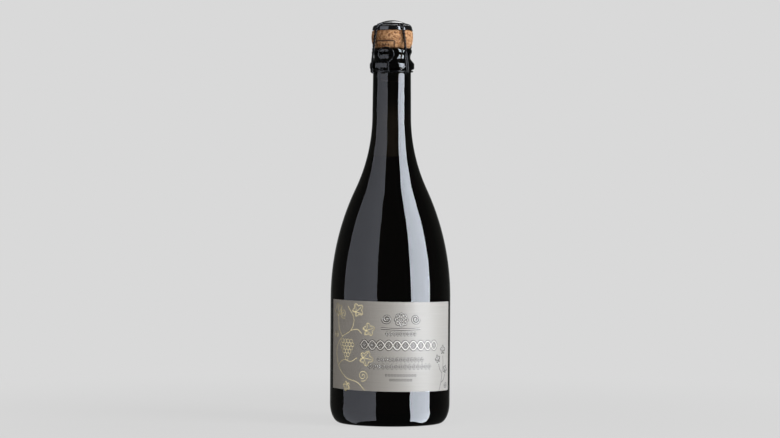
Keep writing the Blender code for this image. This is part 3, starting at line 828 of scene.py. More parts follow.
# %% Rosette and scrolls
ROSETTE_LINE = 0.5 * MM
SCROLL_LINE = 0.55 * MM
ROSETTE = (BAND_MIDDLE, 20.0)
HEART_RADIUS = 1.6
PETALS = 8
PETAL_REACH = 3.6
PETAL_RADIUS = 1.15
SCROLL_REACH = 11
SCROLL_RISE = 0.5
SCROLL_SIZE = 3.4
RULE_HALF = 15
RULE_LEVEL = 13.4
RULE_SAG = 0.5
petals = []
for place in range(PETALS):
    across, up = polar(*ROSETTE, PETAL_REACH, math.tau * place / PETALS)
    petals.append(ring_path(across, up, PETAL_RADIUS, PETAL_RADIUS, steps=12))
heart = ring_path(*ROSETTE, HEART_RADIUS, HEART_RADIUS)
relief("relief_rosette", [*petals, heart], ROSETTE_LINE, closed=True)
scrolls = [
    tendril(ROSETTE[0] + hand * SCROLL_REACH, ROSETTE[1] + SCROLL_RISE, SCROLL_SIZE, 90 - hand * 90, -hand)
    for hand in (-1, 1)
]
rule = flat_path([
    (ROSETTE[0] - RULE_HALF, RULE_LEVEL),
    (ROSETTE[0], RULE_LEVEL - RULE_SAG),
    (ROSETTE[0] + RULE_HALF, RULE_LEVEL),
], steps=12)
relief("relief_scrolls", [*scrolls, rule], SCROLL_LINE)

# %% Lozenges and beads
LOZENGE_LINE = 0.45 * MM
BEAD_LINE = 0.35 * MM
# The count, level, half width and half height of each row of lozenges
LOZENGE_ROWS = ((9, 9.6, 0.9, 1.3), (13, -9.4, 0.95, 1.4), (15, -14.6, 1.15, 1.8))
LOZENGE_PITCH_SHARE = 2.9    # of a lozenge's half width
BEAD_ROWS = ((11, -21.0), (8, -24.5))
BEAD_PITCH = 2.2
BEAD_HALF_WIDTH = 0.7
BEAD_HALF_HEIGHT = 0.8
lozenges = []
for count, up, wide, high in LOZENGE_ROWS:
    for across in in_row(BAND_MIDDLE, count, LOZENGE_PITCH_SHARE * wide):
        lozenges.append(on_sheet((
            (across - wide, up), (across, up + high), (across + wide, up), (across, up - high),
        )))
relief("relief_lozenges", lozenges, LOZENGE_LINE, closed=True)
beads = []
for count, up in BEAD_ROWS:
    for across in in_row(BAND_MIDDLE, count, BEAD_PITCH):
        beads.append(ring_path(across, up, BEAD_HALF_WIDTH, BEAD_HALF_HEIGHT, steps=8))
lay("ink_beads", beads, BEAD_LINE, RELIEF_HEIGHT / 8, dark_ink, closed=True)

# %% [markdown]
# A cork of this kind is pressed from granules of cork and glue, with two discs of solid cork
# at its foot. It starts as a cylinder nearly twice as wide as the bore; squeezed in, it keeps
# the mushroom's head outside. The granules are cells a little under a millimetre wide, each
# with its own tint, and the joints between them are slightly sunk. Joints are both cut into
# the mesh, inwards so that nothing grows, and drawn in the material with cells of the same
# size.

# %% Sizes of the cork and the cap
CORK_RADIUS = 15.65 * MM
CORK_HEAD = 12.9 * MM
CORK_PLAY = 0.2 * MM
CORK_DEPTH = 24.1 * MM
DISC_THICKNESS = 5.8 * MM
# The head's side, as shares of its height and of its widest radius, from the top down
CORK_SIDE_SHARES = (
    (0.97, 0.967), (0.81, 0.984), (0.65, 1.0), (0.48, 0.994),
    (0.33, 0.975), (0.21, 0.953), (0.10, 0.905), (0.0, 0.855),
)
CAP_RADIUS = 15.0 * MM
CAP_WALL = 0.35 * MM
CAP_SKIRT = 3.85 * MM
CAP_SHOULDER = 14.3 * MM
CAP_SHOULDER_ROUND = 2.4 * MM
CAP_FOOT_ROUND = 0.4 * MM
DOME_FOOT = 10.3 * MM
DOME_RISE = 3.7 * MM
DOME_CURVE = 22.0 * MM
SHANK_RADIUS = BORE_RADIUS - CORK_PLAY
CORK_SEAT = GLASS_HEIGHT + SEAT_GAP
CAP_RIM = CORK_SEAT + CORK_HEAD + SEAT_GAP
CAP_LEDGE = CAP_RIM + CAP_SKIRT
CAP_TOP = CAP_LEDGE + DOME_RISE
print("rim of the cap", round(CAP_RIM / MM, 1), "mm, top", round(CAP_TOP / MM, 1), "mm")


# %% Shape of the cork
GRANULE = 0.85 * MM
JOINT_DEPTH = 0.10 * MM
JOINT_SHARE = 0.22           # of a granule, the width over which a joint slopes
PIT_SIZE = 0.4 * GRANULE
PIT_DEPTH = 0.35 * JOINT_DEPTH


def cork_outline():
    """The head under the cap, its bulging side, and the shank down to the discs."""
    shell = CAP_WALL + SEAT_GAP
    top = CAP_LEDGE - shell
    crown = rounded([
        (0, top, 0),
        (CAP_SHOULDER - shell, top, CAP_SHOULDER_ROUND - shell),
        (CAP_RADIUS - 2 * shell, CORK_SEAT + CORK_HEAD, 0),
    ])
    stations = [(CORK_RADIUS * wide, CORK_SEAT + CORK_HEAD * high) for high, wide in CORK_SIDE_SHARES]
    side = even_points(smooth_path(stations, steps=8), count=60)
    foot = GLASS_HEIGHT - CORK_DEPTH + 2 * (DISC_THICKNESS + SEAT_GAP)
    shank = even_points([Vector((SHANK_RADIUS, CORK_SEAT)), Vector((SHANK_RADIUS, foot))], count=30)
    return [*crown, *(tuple(point) for point in side + shank), (0, foot)]


def ease(share):
    """A share from 0 to 1 with a soft start and end."""
    return share * share * (3 - 2 * share)


def sink_joints(piece):
    """Sink the joints between granules into the mesh."""
    verts = piece.data.vertices
    sunk = []
    for vert in verts:
        distances, _ = noise.voronoi(vert.co / GRANULE)
        gap = min((distances[1] - distances[0]) / JOINT_SHARE, 1.0)
        pit = 0.5 + 0.5 * noise.noise(vert.co / PIT_SIZE)
        sunk.append(vert.co - vert.normal * (JOINT_DEPTH * (1 - ease(gap)) + PIT_DEPTH * pit))
    for vert, place in zip(verts, sunk):
        vert.co = place


# %% Colours of the cork
WARP_SIZE = 0.8 * GRANULE
WARP_REACH = 0.5 * GRANULE
GRAIN_SIZE = 0.25 * GRANULE
GRAIN_SHARE = 0.45           # of a granule's tone
JOINT_REACH_SHARE = 0.09     # of a granule, how far a joint's shade reaches
JOINT_TONE_SHARE = 0.76      # of the colour, what a joint keeps
PORE_DEPTH = 0.12 * MM
CORK_TONES = ((0.24, "#6b4325"), (0.36, "#a26e42"), (0.56, "#c49262"), (0.8, "#e2b486"))


def cork_colours(tree, vector):
    """Tinted granules with fine grain; returns the colour, the joints' shade and the grain."""
    warp = add(tree, "ShaderNodeTexNoise", {"Vector": vector, "Scale": 1 / WARP_SIZE, "Detail": 2.0})
    shift = add(tree, "ShaderNodeVectorMath", {
        0: warp.outputs["Color"], 1: (-0.5, -0.5, -0.5),
    }, operation="ADD")
    small = add(tree, "ShaderNodeVectorMath", {0: shift, "Scale": WARP_REACH}, operation="SCALE")
    bent = add(tree, "ShaderNodeVectorMath", {0: vector, 1: small}, operation="ADD")
    cells = add(tree, "ShaderNodeTexVoronoi", {"Vector": bent, "Scale": 1 / GRANULE})
    edges = add(tree, "ShaderNodeTexVoronoi", {
        "Vector": bent, "Scale": 1 / GRANULE,
    }, feature="DISTANCE_TO_EDGE")
    tint = add(tree, "ShaderNodeSeparateColor", {"Color": cells.outputs["Color"]})
    grain = add(tree, "ShaderNodeTexNoise", {"Vector": vector, "Scale": 1 / GRAIN_SIZE, "Detail": 5.0})
    mixed = add(tree, "ShaderNodeMix", {
        "Factor": GRAIN_SHARE, 2: tint.outputs["Red"], 3: grain.outputs["Fac"],
    })
    tones = add(tree, "ShaderNodeValToRGB", {"Fac": mixed}, stops=CORK_TONES)
    shade = add(tree, "ShaderNodeMapRange", {
        "Value": edges.outputs["Distance"], "From Min": 0.0, "From Max": JOINT_REACH_SHARE,
        "To Min": JOINT_TONE_SHARE, "To Max": 1.0,
    })
    shaded = add(tree, "ShaderNodeVectorMath", {
        0: tones.outputs["Color"], "Scale": shade.outputs[0],
    }, operation="SCALE")
    return shaded, shade, grain


granulated_cork, tree, shader = new_material("granulated_cork", Roughness=0.88, IOR=1.4)
place = add(tree, "ShaderNodeTexCoord").outputs["Object"]
colour, shade, grain = cork_colours(tree, place)
pores = add(tree, "ShaderNodeBump", {"Height": grain, "Strength": 0.5, "Distance": PORE_DEPTH})
add(tree, "ShaderNodeBump", {
    "Height": shade, "Strength": 0.5, "Distance": JOINT_DEPTH, "Normal": pores,
}, to=shader.inputs["Normal"])
print("granules", GRANULE / MM, "mm")

# %% [markdown]
# The frame on the cork's side was stamped on, so it follows the side's round. The shader
# unrolls the side: the angle about the axis times the radius is a length, and with the height
# it makes a flat map in metres. A box with round corners has a simple distance formula once
# it is folded into one quarter, and the ink lies where that distance is small. A little of
# the cork's grain is added to it, which lets the ink bleed.

# %% Frame printed on the cork
FRAME_TOP = 286.7 * MM
FRAME_FOOT = 275.0 * MM
FRAME_LEFT = -52.0
FRAME_RIGHT = 7.5
FRAME_CORNER = 1.15 * MM
FRAME_LEVEL = (FRAME_TOP + FRAME_FOOT) / 2
INK_LINE = 0.9 * MM
INK_EDGE_SHARES = (0.55, 0.75)  # of the line, from its middle to where the ink fades and ends
BLEED_SHARE = 0.3            # of the line, how far the grain draws the ink
FRAME_INK_SHARE = 0.92       # of the cork's colour, what the ink covers


def around_cork(azimuth):
    """How far round the cork's side an azimuth in degrees is."""
    return CORK_RADIUS * math.radians(azimuth)


frame_middle = around_cork(FRAME_LEFT + FRAME_RIGHT) / 2
frame_half = around_cork(FRAME_RIGHT - FRAME_LEFT) / 2
frame_high = (FRAME_TOP - FRAME_FOOT) / 2
apart = add(tree, "ShaderNodeSeparateXYZ", {0: place})
back = add(tree, "ShaderNodeMath", {0: apart.outputs["Y"], 1: -1.0}, operation="MULTIPLY")
turn = add(tree, "ShaderNodeMath", {0: apart.outputs["X"], 1: back}, operation="ARCTAN2")
arc_length = add(tree, "ShaderNodeMath", {0: turn, 1: CORK_RADIUS}, operation="MULTIPLY")
unrolled = add(tree, "ShaderNodeCombineXYZ", {"X": arc_length, "Y": apart.outputs["Z"]})
centred = add(tree, "ShaderNodeVectorMath", {
    0: unrolled, 1: (-frame_middle, -FRAME_LEVEL, 0),
}, operation="ADD")
folded = add(tree, "ShaderNodeVectorMath", {0: centred}, operation="ABSOLUTE")
outside = add(tree, "ShaderNodeVectorMath", {
    0: folded, 1: (FRAME_CORNER - frame_half, FRAME_CORNER - frame_high, 0),
}, operation="ADD")
clipped = add(tree, "ShaderNodeVectorMath", {0: outside, 1: (0, 0, 0)}, operation="MAXIMUM")
away = add(tree, "ShaderNodeVectorMath", {0: clipped}, operation="LENGTH").outputs["Value"]
from_line = add(tree, "ShaderNodeMath", {0: away, 1: FRAME_CORNER - INK_LINE / 2}, operation="SUBTRACT")
off_line = add(tree, "ShaderNodeMath", {0: from_line}, operation="ABSOLUTE")
bleed = add(tree, "ShaderNodeMath", {
    0: grain.outputs["Fac"], 1: BLEED_SHARE * INK_LINE,
}, operation="MULTIPLY")
soft = add(tree, "ShaderNodeMath", {0: off_line, 1: bleed}, operation="ADD")
framed = add(tree, "ShaderNodeMapRange", {
    "Value": soft, "To Min": FRAME_INK_SHARE, "To Max": 0.0,
    "From Min": INK_EDGE_SHARES[0] * INK_LINE, "From Max": INK_EDGE_SHARES[1] * INK_LINE,
})
print("frame", round(2 * frame_half / MM, 1), "x", round(2 * frame_high / MM, 1), "mm")

# %% [markdown]
# The short row of lozenges in the frame is worked out in the same flat map: the distance
# along the row is folded into one beat, and added to the distance from the row's level, which
# makes each edge slant. Then both prints darken the cork.

# %% Lozenges printed on the cork, and the finished cork
STAMP_AZIMUTH = -20.0
STAMP_LEVEL = 283.5 * MM
STAMP_PITCH = 2.3 * MM
STAMP_HALF = 1.0 * MM
STAMP_RUN = 3.4 * MM         # half the length of the row
STAMP_EDGE_SHARE = 0.75      # of a lozenge, from its middle to where the ink fades
STAMP_INK_SHARE = 0.8
in_frame = add(tree, "ShaderNodeSeparateXYZ", {0: centred})
along = add(tree, "ShaderNodeMath", {
    0: in_frame.outputs["X"], 1: frame_middle - around_cork(STAMP_AZIMUTH),
}, operation="ADD")
beat = add(tree, "ShaderNodeMath", {0: along, 1: STAMP_PITCH / 2}, operation="PINGPONG")
rise = add(tree, "ShaderNodeMath", {
    0: in_frame.outputs["Y"], 1: FRAME_LEVEL - STAMP_LEVEL,
}, operation="ADD")
height = add(tree, "ShaderNodeMath", {0: rise}, operation="ABSOLUTE")
slanted = add(tree, "ShaderNodeMath", {0: beat, 1: height}, operation="ADD")
run = add(tree, "ShaderNodeMath", {0: along}, operation="ABSOLUTE")
past_end = add(tree, "ShaderNodeMath", {0: run, 1: STAMP_RUN}, operation="GREATER_THAN")
from_stamp = add(tree, "ShaderNodeMath", {0: slanted, 1: past_end}, operation="ADD")
stamped = add(tree, "ShaderNodeMapRange", {
    "Value": from_stamp, "To Min": STAMP_INK_SHARE, "To Max": 0.0,
    "From Min": STAMP_EDGE_SHARE * STAMP_HALF, "From Max": STAMP_HALF,
})
print_share = add(tree, "ShaderNodeMath", {0: framed, 1: stamped}, operation="MAXIMUM")
printed = add(tree, "ShaderNodeMix", {
    0: print_share, 6: colour, 7: hex_colour("#2a1c13"),
}, data_type="RGBA")
tree.links.new(printed.outputs[2], shader.inputs["Base Color"])

cork = turn_piece("cork_head_and_shank", cork_outline(), granulated_cork, sides=200, sharp=70)
sink_joints(cork)
fit(cork, "cork_body", "cork")

# %% [markdown]
# The two discs are punched from natural cork bark, so they show its growth rings as level
# streaks and its lenticels as short dark flecks. They stay inside the neck until the cork is
# drawn, and come out last, at its foot.

# %% Solid cork discs
STREAK_LENGTH = 5.6 * MM
STREAK_PITCH = 0.77 * MM
FLECK_LENGTH = 2.4 * MM
FLECK_HEIGHT = 0.9 * MM
FLECK_DEPTH = 0.15 * MM
FLECK_EDGE_SHARES = (0.1, 0.3)  # of a fleck's size, where its dark heart ends and its rim
FLECK_TONE_SHARE = 0.35      # of the colour, what its heart keeps
DISC_ROUND = 0.3 * MM
natural_cork, tree, shader = new_material("natural_cork_bark", Roughness=0.82, IOR=1.4)
place = add(tree, "ShaderNodeTexCoord").outputs["Object"]
layered = add(tree, "ShaderNodeMapping", {
    "Vector": place, "Scale": (1 / STREAK_LENGTH, 1 / STREAK_LENGTH, 1 / STREAK_PITCH),
})
rings = add(tree, "ShaderNodeTexNoise", {"Vector": layered, "Scale": 1.0, "Detail": 5.0})
tones = add(tree, "ShaderNodeValToRGB", {"Fac": rings}, stops=((0.35, "#a87747"), (0.65, "#d8ae7c")))
flattened = add(tree, "ShaderNodeMapping", {
    "Vector": place, "Scale": (1 / FLECK_LENGTH, 1 / FLECK_LENGTH, 1 / FLECK_HEIGHT),
})
flecks = add(tree, "ShaderNodeTexVoronoi", {"Vector": flattened, "Scale": 1.0})
pits = add(tree, "ShaderNodeMapRange", {
    "Value": flecks.outputs["Distance"],
    "From Min": FLECK_EDGE_SHARES[0], "From Max": FLECK_EDGE_SHARES[1],
    "To Min": FLECK_TONE_SHARE, "To Max": 1.0,
})
add(tree, "ShaderNodeVectorMath", {
    0: tones.outputs["Color"], "Scale": pits.outputs[0],
}, to=shader.inputs["Base Color"], operation="SCALE")
add(tree, "ShaderNodeBump", {
    "Height": pits, "Strength": 0.6, "Distance": FLECK_DEPTH,
}, to=shader.inputs["Normal"])
for node, name in (("cork_disc_upper", "upper_disc"), ("cork_disc_lower", "lower_disc")):
    low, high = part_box(node)
    disc = turn_piece(name, rounded([
        (0, high.z, 0), (SHANK_RADIUS, high.z, DISC_ROUND),
        (SHANK_RADIUS, low.z, DISC_ROUND), (0, low.z, 0),
    ]), natural_cork)
    fit(disc, node, "cork")

# %% [markdown]
# The cap is tinplate a third of a millimetre thick, pressed to a dome, a ledge for the wire
# and a flared skirt, and lacquered black. A lacquer is a clear, even film: low roughness, the
# gloss of a plastic, and a very slight waviness that makes its reflections swim.

# %% Cap
black_plate, tree, shader = new_material(
    "black_lacquered_tinplate", Base_Color=hex_colour("#0c0c0e"), Roughness=0.14, IOR=1.55,
    Coat_Weight=0.6, Coat_Roughness=0.05,
)
make_uneven(tree, shader, size=1.8 * MM, depth=0.06 * MM, strength=0.5, detail=3.0)


def cap_outline(steps=12):
    """Dome, ledge and skirt outside, then the same again inside at the sheet's thickness."""
    dome = []
    for step in range(steps + 1):
        radius = (DOME_FOOT - CAP_FOOT_ROUND) * step / steps
        dome.append((radius, CAP_TOP - DOME_CURVE + math.sqrt(DOME_CURVE ** 2 - radius ** 2)))
    ledge = rounded([
        (*dome[-1], 0),
        (DOME_FOOT, CAP_LEDGE, CAP_FOOT_ROUND),
        (CAP_SHOULDER, CAP_LEDGE, CAP_SHOULDER_ROUND),
        (CAP_RADIUS, CAP_RIM, 0),
    ])
    outer = dome + ledge[1:]
    inner = inset(outer, CAP_WALL)[::-1]
    inner[-1] = (0, CAP_TOP - CAP_WALL)
    return outer + inner


cap = turn_piece("cap_plate", cap_outline(), black_plate, sides=120)
fit(cap, "cage_cap", "cage")

# %% [markdown]
# The cage is bent from soft steel wire, lacquered black. Its paths are worked out first, and
# one more tree sweeps the round section along them. The path of a leg is a hairpin: two
# strands leave the ring side by side, twist round each other down the cap's skirt and the
# cork, run on side by side over the bead, and turn into each other in a hook under the belt.
# The twist is two spirals half a turn apart about one centre line.

# %% A tree that sweeps wire
def wire_tree():
    """Sweep a round section along paths."""
    tree, given = start_tree("Wire", {"Diameter": "Float", "Sides": "Int", "Material": "Material"})
    path = add(tree, "GeometryNodeMeshToCurve", {"Mesh": given["Geometry"]})
    radius = add(tree, "ShaderNodeMath", {0: given["Diameter"], 1: 0.5}, operation="MULTIPLY")
    section = add(tree, "GeometryNodeCurvePrimitiveCircle", {
        "Resolution": given["Sides"], "Radius": radius,
    })
    swept = add(tree, "GeometryNodeCurveToMesh", {
        "Curve": path, "Profile Curve": section, "Fill Caps": True,
    })
    end_tree(tree, swept, given["Material"])
    return tree


DRAWN = wire_tree()
WIRE_SIDES = 12
black_wire, tree, shader = new_material(
    "black_lacquered_steel_wire", Base_Color=hex_colour("#08080a"), Roughness=0.1, IOR=1.38,
)
make_uneven(tree, shader, size=0.8 * MM, depth=0.04 * MM, strength=0.3, detail=2.0)


def draw_wire(name, paths, diameter, node, body, closed=False):
    """Make a piece of wire from its paths, in place of its node."""
    made = run_tree(
        name, line_mesh(name, paths, closed), DRAWN,
        Diameter=diameter, Sides=WIRE_SIDES, Material=black_wire,
    )
    fit(made, node, body)


# %% Ring
FRAME_WIRE = 0.85 * MM
RING_RADIUS = DOME_FOOT + SEAT_GAP + FRAME_WIRE / 2
RING_LEVEL = CAP_LEDGE + SEAT_GAP + FRAME_WIRE / 2
circle = level_circle(RING_RADIUS, RING_LEVEL, count=120)
draw_wire("ring_wire", [circle], FRAME_WIRE, "cage_top_ring", "cage", closed=True)

# %% Path of a leg
LEG_WIRE = 1.0 * MM
LEG_GAP = 0.1 * MM           # between a leg's two strands
LEG_TURNS = 4
TWIST_STEPS = 20             # in a full turn of a strand
CROWN_STEPS = 20             # from the ring to the twist
DOUBLE_STEPS = 36            # from the twist to the end of the hook
OPENING_STEPS = 12
HOOK_STEPS = 10
BEND_STEPS = 10              # from one strand round to the other, at the hook's end
CROWN_SPREAD = 2.6 * MM
DOUBLE_SPREAD = 1.5 * MM
DOUBLE_LENGTH = 13.5 * MM
HOOK_DEPTH = 1.35 * MM
HOOK_SWEEP = 75.0
BELT_RADIUS = 15.35 * MM
BELT_DROP = 2.0 * MM         # from the bead's foot to the belt
BELT_LEVEL = BEAD_BOTTOM - BELT_DROP
# Where a leg passes over the cap's bend: the angle there, and how far it has moved off for
# the twist, as a share
BEND_STATIONS = ((90, 0), (50, 0), (18, 0.5))


def leg_centre():
    """The middle of a leg's two strands, as (radius, height) from the ring to the belt."""
    lean = SEAT_GAP + LEG_WIRE + LEG_GAP / 2
    flat = SEAT_GAP + LEG_WIRE / 2
    skirt = Vector((CAP_RADIUS - CAP_SHOULDER, -CAP_SKIRT)).normalized()
    bend = CAP_SHOULDER + CAP_SHOULDER_ROUND * (1 - skirt.x) / skirt.y
    over_bend = []
    for angle, away in BEND_STATIONS:
        turn = math.radians(angle)
        clear = CAP_SHOULDER_ROUND + flat + (lean - flat) * away
        over_bend.append((
            bend + clear * math.cos(turn), CAP_LEDGE - CAP_SHOULDER_ROUND + clear * math.sin(turn),
        ))
    stations = [
        (RING_RADIUS + FRAME_WIRE / 2 + SEAT_GAP, RING_LEVEL),
        *over_bend,
        (CAP_RADIUS - lean * skirt.y, CAP_RIM + lean * skirt.x),
        (CORK_RADIUS + lean, CORK_SEAT + CORK_HEAD * CORK_SIDE_SHARES[2][0]),
        (BEAD_RADIUS + flat, BEAD_TOP),
        (BEAD_RADIUS + flat, BEAD_BOTTOM),
        (BEAD_RADIUS + flat, BELT_LEVEL),
    ]
    reach = BEAD_RADIUS + flat - BELT_RADIUS
    hook = ellipse((BELT_RADIUS, BELT_LEVEL), reach, HOOK_DEPTH, 0, -HOOK_SWEEP, HOOK_STEPS)
    return smooth_path(stations, steps=24) + [Vector(point) for point in hook[1:]]


def leg_path(at_cap, at_belt):
    """Both strands of a leg and the bend that joins them, as one line."""
    path = leg_centre()
    start = next(i for i, point in enumerate(path) if point.y < CAP_RIM + CAP_SKIRT / 2)
    split = next(i for i, point in enumerate(path) if point.y < BELT_LEVEL + DOUBLE_LENGTH)
    crown = even_points(path[:start + 1], CROWN_STEPS)[:-1]
    twisted = even_points(path[start:split + 1], LEG_TURNS * TWIST_STEPS)
    centre = crown + twisted + even_points(path[split:], DOUBLE_STEPS)[1:]
    close = (LEG_WIRE + LEG_GAP) / 2
    strands = ([], [])
    for index, point in enumerate(centre):
        along = (centre[min(index + 1, len(centre) - 1)] - centre[max(index - 1, 0)]).normalized()
        progress = (index - len(crown)) / (len(twisted) - 1)
        turn = math.tau * LEG_TURNS * min(max(progress, 0), 1)
        spread = max(0, 1 - index / len(crown)) ** 2
        opening = ease(min(max(index - len(crown) - len(twisted) + 1, 0) / OPENING_STEPS, 1))
        apart = close + (CROWN_SPREAD / 2 - close) * spread + (DOUBLE_SPREAD / 2 - close) * opening
        azimuth = at_cap + (at_belt - at_cap) * (RING_LEVEL - point.y) / (RING_LEVEL - BELT_LEVEL)
        sideways = around(1, azimuth + 90, 0)
        outwards = around(-along.y, azimuth, along.x)
        offset = apart * (math.cos(turn) * sideways + math.sin(turn) * outwards)
        middle = around(point.x, azimuth, point.y)
        strands[0].append(middle + offset)
        strands[1].append(middle - offset)
    onwards = around(along.x, azimuth, along.y)
    bend = []
    for step in range(1, BEND_STEPS):
        angle = math.pi * step / BEND_STEPS
        bend.append(middle + apart * (math.cos(angle) * sideways + math.sin(angle) * onwards))
    return strands[0] + bend + strands[1][::-1]


# %% Legs
# The azimuths of each leg at the cap and at the belt
LEG_AZIMUTHS = {
    "leg_front_left": (-45.0, -61.5),
    "leg_front_right": (28.0, 41.5),
    "leg_back_right": (115.0, 140.0),
    "leg_back_left": (-140.0, -146.0),
}
for node, (at_cap, at_belt) in LEG_AZIMUTHS.items():
    draw_wire(node + "_wire", [leg_path(at_cap, at_belt)], LEG_WIRE, node, "cage")

# %% [markdown]
# The belt runs round the neck under the bead, and its two ends are twisted together: first
# outwards, as a short root, then up in front of the bead, where the last of the wire opens to
# the ring that a finger pulls. Root and loop are separate pieces, because the loop folds and
# turns about the root when the cage is undone. The belt dips a little where it was crimped.

# %% Belt
LOOP_WIRE = 0.85 * MM
STRAND_GAP = 0.2 * MM
LOOP_AZIMUTH = -9.2
BELT_WIRE = 1.1 * MM
BELT_STEPS = 200
CRIMP_AZIMUTH = 31.0
CRIMP_DEPTH = 0.5 * MM
CRIMP_WIDTH = 4.5            # degrees each way
opening = math.degrees((LOOP_WIRE + STRAND_GAP / 2 + SEAT_GAP) / BELT_RADIUS)
belt = []
for step in range(BELT_STEPS + 1):
    azimuth = LOOP_AZIMUTH + opening + (360 - 2 * opening) * step / BELT_STEPS
    dip = CRIMP_DEPTH * math.exp(-((azimuth - CRIMP_AZIMUTH) / CRIMP_WIDTH) ** 2)
    belt.append(around(BELT_RADIUS, azimuth, BELT_LEVEL - dip))
draw_wire("belt_wire", [belt], BELT_WIRE, "cage_belt", "cage")

# %% Root of the twist
LOOP_CLEARANCE = 0.6 * MM
ROOT_TURNS = 0.75
ROOT_STEPS = 24
STEM_RADIUS = BEAD_RADIUS + LOOP_CLEARANCE + LOOP_WIRE + STRAND_GAP / 2
start = BELT_RADIUS - BELT_WIRE / 2
reach = STEM_RADIUS - LOOP_WIRE - STRAND_GAP / 2 - SEAT_GAP - start
strand = (LOOP_WIRE + STRAND_GAP / 4) / 2
roots = ([], [])
for step in range(ROOT_STEPS + 1):
    turn = math.tau * ROOT_TURNS * step / ROOT_STEPS
    out = around(start + reach * step / ROOT_STEPS, LOOP_AZIMUTH, BELT_LEVEL)
    offset = around(strand * math.cos(turn), LOOP_AZIMUTH + 90, strand * math.sin(turn))
    roots[0].append(out + offset)
    roots[1].append(out - offset)
draw_wire("root_twist", roots, LOOP_WIRE, "tie_root", "tie")

# %% Pull loop
LOOP_TURNS = 2.5
STEM_LENGTH = 6.6 * MM
EYE_WIDTH = 12.5 * MM
EYE_HEIGHT = 11.4 * MM
EYE_SHIFT = 1.6 * MM
EYE_MOUTH = 24.0
EYE_STEPS = 90
up = []
steps = round(LOOP_TURNS * TWIST_STEPS)
for step in range(steps + 1):
    share = step / steps
    turn = math.tau * LOOP_TURNS * (share - 1)
    up.append(Vector((strand * math.cos(turn), strand * math.sin(turn), STEM_LENGTH * share)))
down = [Vector((-point.x, -point.y, point.z)) for point in reversed(up)]
wide = (EYE_WIDTH - LOOP_WIRE) / 2
high = (EYE_HEIGHT - LOOP_WIRE) / 2
centre = (-EYE_SHIFT, STEM_LENGTH + LOOP_WIRE / 2 + high)
foot = math.degrees(math.asin(EYE_SHIFT / wide)) - 90
eye = ellipse(centre, wide, high, foot + EYE_MOUTH / 2, foot + 360 - EYE_MOUTH / 2, EYE_STEPS)
# The curve is drawn again through fewer points, which rounds the way from stem to eye
loop = smooth_path([*up[::2], *(Vector((x, 0, z)) for x, z in eye[2:-2:4]), *down[::2]], steps=4)
seat = Matrix.Translation(around(STEM_RADIUS, LOOP_AZIMUTH, BELT_LEVEL))
seat = seat @ Matrix.Rotation(math.radians(LOOP_AZIMUTH), 4, "Z")
draw_wire("loop_wire", [[seat @ point for point in loop]], LOOP_WIRE, "pull_loop", "loop")

# %% [markdown]
# The studio is the photograph's: a light grey ground, a wide dim card on the left, a narrow
# bright one on the right, two small ones high up behind, and darkness elsewhere. The glass
# and the cap mirror the cards, while soft lamps of a plain level light the matt surfaces from
# the same sides and from above. The sky has the grey ground for the camera and through the
# glass, and the dark room for mirror rays.

# %% Sky
GROUND = hex_colour("#d9d9d9")
DARK_ROOM = 0.045            # what the glass mirrors where there is no card
DARK_WALL = 0.13             # and right behind the bottle, where the grey ground is near
WALL_COSINES = (0.88, 0.97)  # of the angles from straight behind where it starts and is full
DIM_SKY = 0.15               # the sky's light on matt surfaces
world = bpy.data.worlds.new("studio")
bpy.context.scene.world = world
world.use_nodes = True
sky = world.node_tree
sky.nodes.clear()
ray = add(sky, "ShaderNodeLightPath")
looking = add(sky, "ShaderNodeTexCoord")
behind = add(sky, "ShaderNodeVectorMath", {
    0: looking.outputs["Generated"], 1: (0.0, 1.0, 0.0),
}, operation="DOT_PRODUCT")
mirrored = add(sky, "ShaderNodeMapRange", {
    "Value": behind.outputs["Value"], "From Min": WALL_COSINES[0], "From Max": WALL_COSINES[1],
    "To Min": DARK_ROOM, "To Max": DARK_WALL,
})
soft = add(sky, "ShaderNodeMix", {0: ray.outputs["Is Diffuse Ray"], 2: mirrored, 3: DIM_SKY})
room = add(sky, "ShaderNodeBackground", {"Color": hex_colour("#fbfffa"), "Strength": soft})
ground = add(sky, "ShaderNodeBackground", {"Color": GROUND, "Strength": 1.0})
seen = add(sky, "ShaderNodeMath", {
    0: ray.outputs["Is Camera Ray"], 1: ray.outputs["Is Transmission Ray"],
}, operation="MAXIMUM")
mixed = add(sky, "ShaderNodeMixShader", {0: seen, 1: room, 2: ground})
add(sky, "ShaderNodeOutputWorld", {"Surface": mixed})
print("ground", round(GROUND[0], 3))


# %% Floor
FLOOR_RADIUS = 0.55
FLOOR_SIDES = 64
FLOOR_DROP = 0.3 * MM        # under the bottle's foot
LIT_SHARE = 0.12             # of the light that falls on it; the rest is a glow like the sky's
LIT_RADIUS = 0.12            # from there outwards it fades to the glow alone


def stage_piece(name, verts, faces, material, hidden_from):
    """A piece of the studio, hidden from some kinds of rays."""
    mesh = bpy.data.meshes.new(name)
    mesh.from_pydata(verts, [], faces)
    mesh.materials.append(material)
    made = show(name, mesh)
    for rays in hidden_from:
        setattr(made, "visible_" + rays, False)
    made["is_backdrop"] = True
    return made


